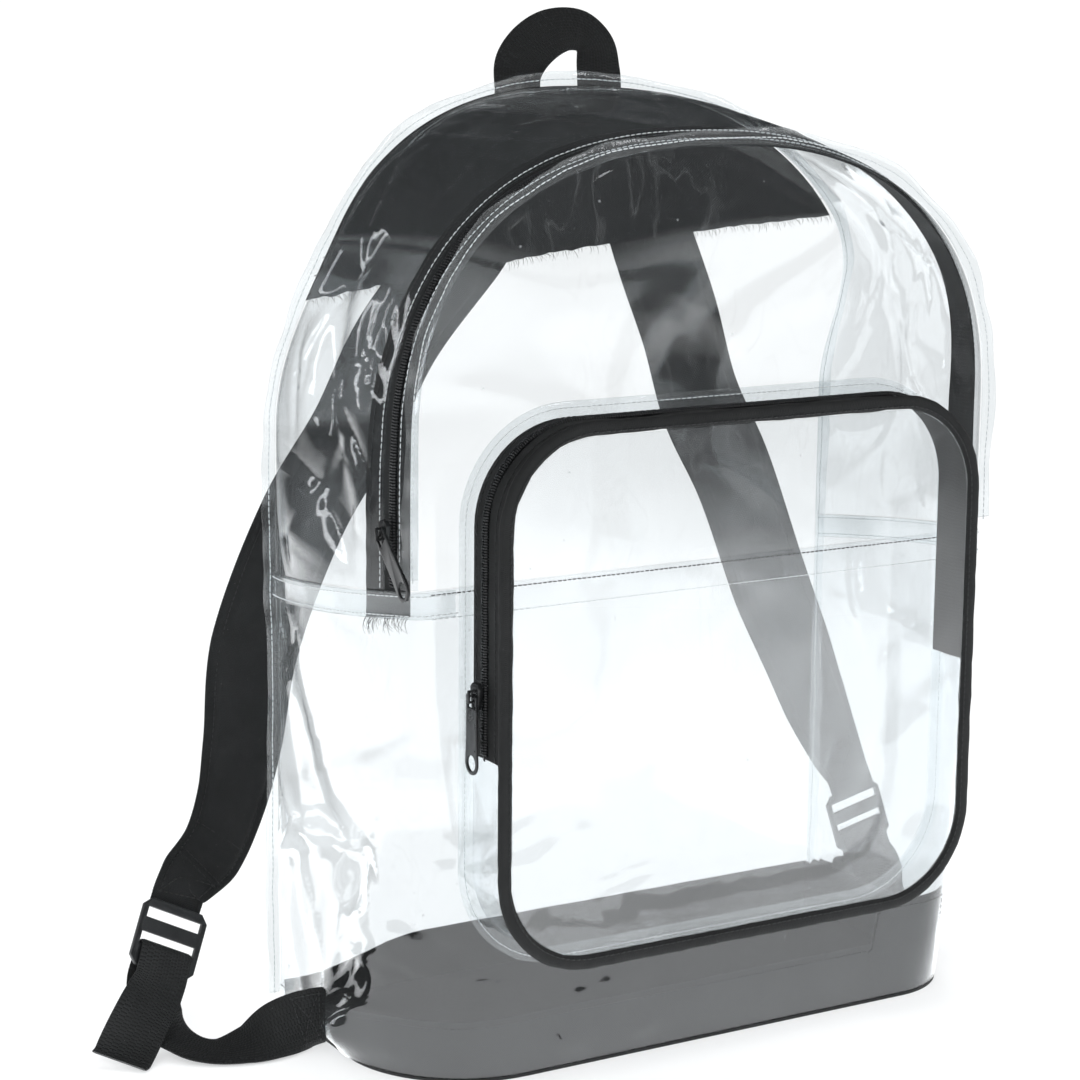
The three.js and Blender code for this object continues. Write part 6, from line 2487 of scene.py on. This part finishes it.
    def build(self) -> None:
        """Makes the strap."""
        self.pad()
        self.webbing()
        self.bench.hard(
            f"strap_{self.name}_ladder_buckle", f"strap_{self.name}_buckle", Look.BUCKLE, "bag", 0.7
        )


def both_straps(form: BagForm, bench: Workbench) -> list[ShoulderStrap]:
    """The two straps as they lie beside the bag.

    Args:
        form: the shell's shape.
        bench: the workbench.

    Returns:
        Left and right strap.
    """
    left = ShoulderStrap(
        form,
        bench,
        Side.LEFT,
        lower=(
            (-165, 100, 130, 0.9, 0, -0.3, 22), (-173.5, 95, 103.6, 0.89, 0, -0.46, 20),
            (-189.8, 83, 82, 0.93, 0, -0.36, 17)
        ),
        centre=point(-225.5, 56, 50),
        down=point(-0.436, -0.305, -0.846),
        across=point(0.89, 0, -0.46),
        root_y=13,
        root_gap=1.1,
        tail=(
            (-246, 38.5, 22, 0.87, -0.2, -0.4), (-255, 35, 10, 0.84, -0.42, -0.2),
            (-262, 31, 2, 0.82, -0.57, 0)
        ),
    )
    right = ShoulderStrap(
        form,
        bench,
        Side.RIGHT,
        lower=(
            (172, 102, 140, 0.97, 0, 0.22, 23), (184, 98, 108, 0.99, 0, 0.12, 21),
            (196, 94, 80, 0.98, 0, 0.18, 17)
        ),
        centre=point(208.5, 88, 40),
        down=point(0.22, -0.17, -0.96),
        across=point(-0.975, 0, -0.222),
        root_y=46,
        root_gap=0.35,
        tail=(
            (214, 93, 15, -0.97, 0.1, -0.2), (211, 99, 6, -0.95, 0.3, -0.05), (205, 108, 2, -0.93, 0.36, 0)
        ),
    )
    return [left, right]


@dataclass(frozen=True)
class Softbox:
    """An area light aimed at the bag: place and size in metres, power in watts."""

    name: str
    place: tuple[float, float, float]
    size: tuple[float, float]
    power: float
    in_gloss: bool = True


@dataclass(frozen=True)
class Card:
    """A bright card aimed at the bag that only reflections show. Metres."""

    name: str
    place: tuple[float, float, float]
    size: tuple[float, float]
    level: float


SOFTBOXES = (
    Softbox("key", (-1.9, -2.0, 2.3), (1.4, 1.4), 34),
    Softbox("fill", (2.4, -1.6, 1.5), (1.6, 1.6), 14),
    Softbox("top", (0.2, 1.2, 2.6), (1.8, 1.2), 20, in_gloss=False),
)
CARDS = (
    Card("bright_card_0", (-2.6, 0.5, 0.9), (0.16, 1.5), 9.0),
    Card("bright_card_1", (-2.1, 2.0, 0.9), (0.3, 1.6), 5.0),
    Card("bright_card_2", (-1.2, -0.4, 2.6), (0.5, 0.16), 12.0),
    Card("bright_card_3", (1.5, -2.8, 1.5), (0.2, 0.9), 6.0),
)
Standing = tuple[bpy.types.Object, Graph, bpy.types.Node]


@dataclass
class Studio:
    """Camera at the photograph's angle, pale floor, soft lights and bright cards that only gloss sees."""

    azimuth: float = -30.63
    elevation: float = 11.17
    roll: float = 0.46
    lens: float = 95.1
    distance: float = 1.36839
    target: tuple[float, float, float] = (-0.05355, 0.0, 0.23862)
    backdrop: Colour = (0.97, 0.98, 0.985)
    room_low: Colour = (0.03, 0.032, 0.034)
    room_high: Colour = (0.02, 0.021, 0.022)
    beyond: float = 1.09
    middle: Vector = field(default_factory=lambda: Vector((0, 0, 0.22)))
    disc_sides: int = 64
    table_radius: float = 1.75
    table_height: float = 0.0002
    table_bright_to: float = 0.9
    table_levels: tuple[float, float] = (2.0, 0.04)
    table_colour: Colour = (0.97, 0.985, 1.0)
    floor_radius: float = 14.0
    floor_dark: Colour = (0.86, 0.865, 0.87)
    floor_light: Colour = (0.90, 0.90, 0.90)
    floor_fade: tuple[float, float, float, float] = (0.2, 0.9, 0.35, 1.0)

    def camera(self) -> None:
        """Makes the scene's camera."""
        a, e, r = (math.radians(v) for v in (self.azimuth, self.elevation, self.roll))
        back = Vector((math.sin(a) * math.cos(e), -math.cos(a) * math.cos(e), math.sin(e)))
        right = Vector((math.cos(a), math.sin(a), 0))
        up = back.cross(right)
        x_axis = right * math.cos(r) + up * math.sin(r)
        y_axis = up * math.cos(r) - right * math.sin(r)
        data = bpy.data.cameras.new("photo_camera")
        data.sensor_width, data.sensor_fit, data.lens = 36.0, "HORIZONTAL", self.lens
        data.clip_start, data.clip_end = 0.05, 60
        camera = bpy.data.objects.new("photo_camera", data)
        turn = Matrix((x_axis, y_axis, back)).transposed().to_4x4()
        camera.matrix_world = Matrix.Translation(Vector(self.target) + back * self.distance) @ turn
        bpy.context.scene.collection.objects.link(camera)
        bpy.context.scene.camera = camera

    def softbox(self, box: Softbox) -> None:
        """Hangs one area light.

        Args:
            box: its name, place, size and power.
        """
        data = bpy.data.lights.new(box.name, "AREA")
        data.shape = "RECTANGLE"
        data.size, data.size_y = box.size
        data.energy = box.power
        light = bpy.data.objects.new(box.name, data)
        light.location = box.place
        light.rotation_euler = (self.middle - light.location).to_track_quat("-Z", "Y").to_euler()
        light.visible_glossy = box.in_gloss
        bpy.context.scene.collection.objects.link(light)

    def stand(self, name: str, corners: Sequence[tuple[float, float, float]], only_gloss: bool) -> Standing:
        """One flat piece of the studio with an empty material.

        Args:
            name: the name of the piece and of its material.
            corners: its outline, anticlockwise seen from its bright side.
            only_gloss: whether reflections alone show it.

        Returns:
            The piece, its node graph and its output node.
        """
        mesh = bpy.data.meshes.new(name)
        mesh.from_pydata(corners, [], [tuple(range(len(corners)))])
        piece = bpy.data.objects.new(name, mesh)
        material, g, output = new_material(name)
        mesh.materials.append(material)
        bpy.context.scene.collection.objects.link(piece)
        for kind in ("camera", "diffuse", "shadow", "transmission"):
            setattr(piece, f"visible_{kind}", not only_gloss)
        piece.visible_glossy = only_gloss
        return piece, g, output

    def disc(self, radius: float, height: float) -> list[tuple[float, float, float]]:
        """Outline of a level disc round the origin."""
        angles = np.linspace(0, 2 * math.pi, self.disc_sides + 1)[:-1]
        return [(radius * math.cos(a), radius * math.sin(a), height) for a in angles]

    def table(self) -> None:
        """Disc of bright table that only reflections show, fading out at its rim."""
        corners = self.disc(self.table_radius, self.table_height)
        table, g, output = self.stand("table_glow", corners, True)
        place = g.node("ShaderNodeTexCoord").outputs["Object"]
        away = g.node("ShaderNodeVectorMath", {0: place}, operation="LENGTH").outputs["Value"]
        level = g.ramp(away, self.table_bright_to, self.table_radius, *self.table_levels)
        glow = g.node("ShaderNodeEmission", {"Color": rgba(self.table_colour), "Strength": level})
        g.tree.links.new(glow.outputs[0], output.inputs["Surface"])

    def card(self, sheet: Card) -> None:
        """Hangs a bright card that only reflections show.

        Args:
            sheet: its name, place, size and brightness.
        """
        w, h = sheet.size[0] / 2, sheet.size[1] / 2
        card, g, output = self.stand(sheet.name, [(-w, -h, 0), (w, -h, 0), (w, h, 0), (-w, h, 0)], True)
        card.location = sheet.place
        card.rotation_euler = (self.middle - card.location).to_track_quat("Z", "Y").to_euler()
        colour = (sheet.level, sheet.level * 1.02, sheet.level * 1.05, 1.0)
        glow = g.node("ShaderNodeEmission", {"Color": colour, "Strength": 1.0})
        g.tree.links.new(glow.outputs[0], output.inputs["Surface"])

    def floor(self) -> None:
        """Wide pale floor with faint mottling that turns into the bright backdrop away from the bag."""
        floor, g, output = self.stand("pale_floor", self.disc(self.floor_radius, 0.0), False)
        place = g.node("ShaderNodeTexCoord").outputs["Object"]
        colour = g.mixed(g.noise(place, 6.0, 4.0), rgba(self.floor_dark), rgba(self.floor_light))
        body = g.node("ShaderNodeBsdfPrincipled", {"Base Color": colour, "Roughness": 0.6})
        glow = g.node("ShaderNodeEmission", {"Color": rgba(self.backdrop), "Strength": self.beyond})
        away = g.node("ShaderNodeVectorMath", {0: place}, operation="LENGTH").outputs["Value"]
        share = g.ramp(away, *self.floor_fade)
        blended = g.node("ShaderNodeMixShader", {0: share, 1: body.outputs[0], 2: glow.outputs[0]})
        g.tree.links.new(blended.outputs[0], output.inputs["Surface"])

    def world(self) -> None:
        """Near-white surroundings that turn dim in reflections, as a dark room does behind the lights."""
        world = bpy.data.worlds.new("studio")
        world.use_nodes = True
        world.node_tree.nodes.clear()
        g = Graph(world.node_tree)
        output = g.node("ShaderNodeOutputWorld")
        height = g.node(
            "ShaderNodeSeparateXYZ", {0: g.node("ShaderNodeTexCoord").outputs["Generated"]}
        ).outputs[2]
        dim = g.mixed(g.ramp(height, -0.1, 0.9), rgba(self.room_low), rgba(self.room_high))
        path = g.node("ShaderNodeLightPath")
        colour = g.mixed(path.outputs["Is Glossy Ray"], rgba(self.backdrop), dim)
        strength = g.ramp(path.outputs["Is Camera Ray"], 0.0, 1.0, 0.95, self.beyond)
        sky = g.node("ShaderNodeBackground", {"Color": colour, "Strength": strength})
        g.tree.links.new(sky.outputs[0], output.inputs["Surface"])
        bpy.context.scene.world = world

    def build(self) -> None:
        """Sets up everything round the bag."""
        self.camera()
        self.floor()
        self.table()
        self.world()
        for box in SOFTBOXES:
            self.softbox(box)
        for sheet in CARDS:
            self.card(sheet)
        scene = bpy.context.scene
        scene.view_settings.view_transform = "Standard"
        scene.cycles.transparent_max_bounces = 26
        scene.cycles.max_bounces = 5
        scene.cycles.glossy_bounces = 3


def main() -> None:
    """Builds the studio and then every part of the bag."""
    logging.basicConfig(level=logging.INFO, format="%(name)s: %(message)s")
    form = BagForm()
    Studio().build()
    bench = Workbench()
    ClearShell(form, bench).build()
    Seams(form, bench).build()
    BaseTub(form, bench).build()
    BackYoke(form, bench).build()
    MainZip(form, bench).build()
    FrontPocket(form, bench).build()
    HaulHandle(form, bench).build()
    for strap in both_straps(form, bench):
        strap.build()
    bench.clear_away()


if __name__ == "__main__":
    main()
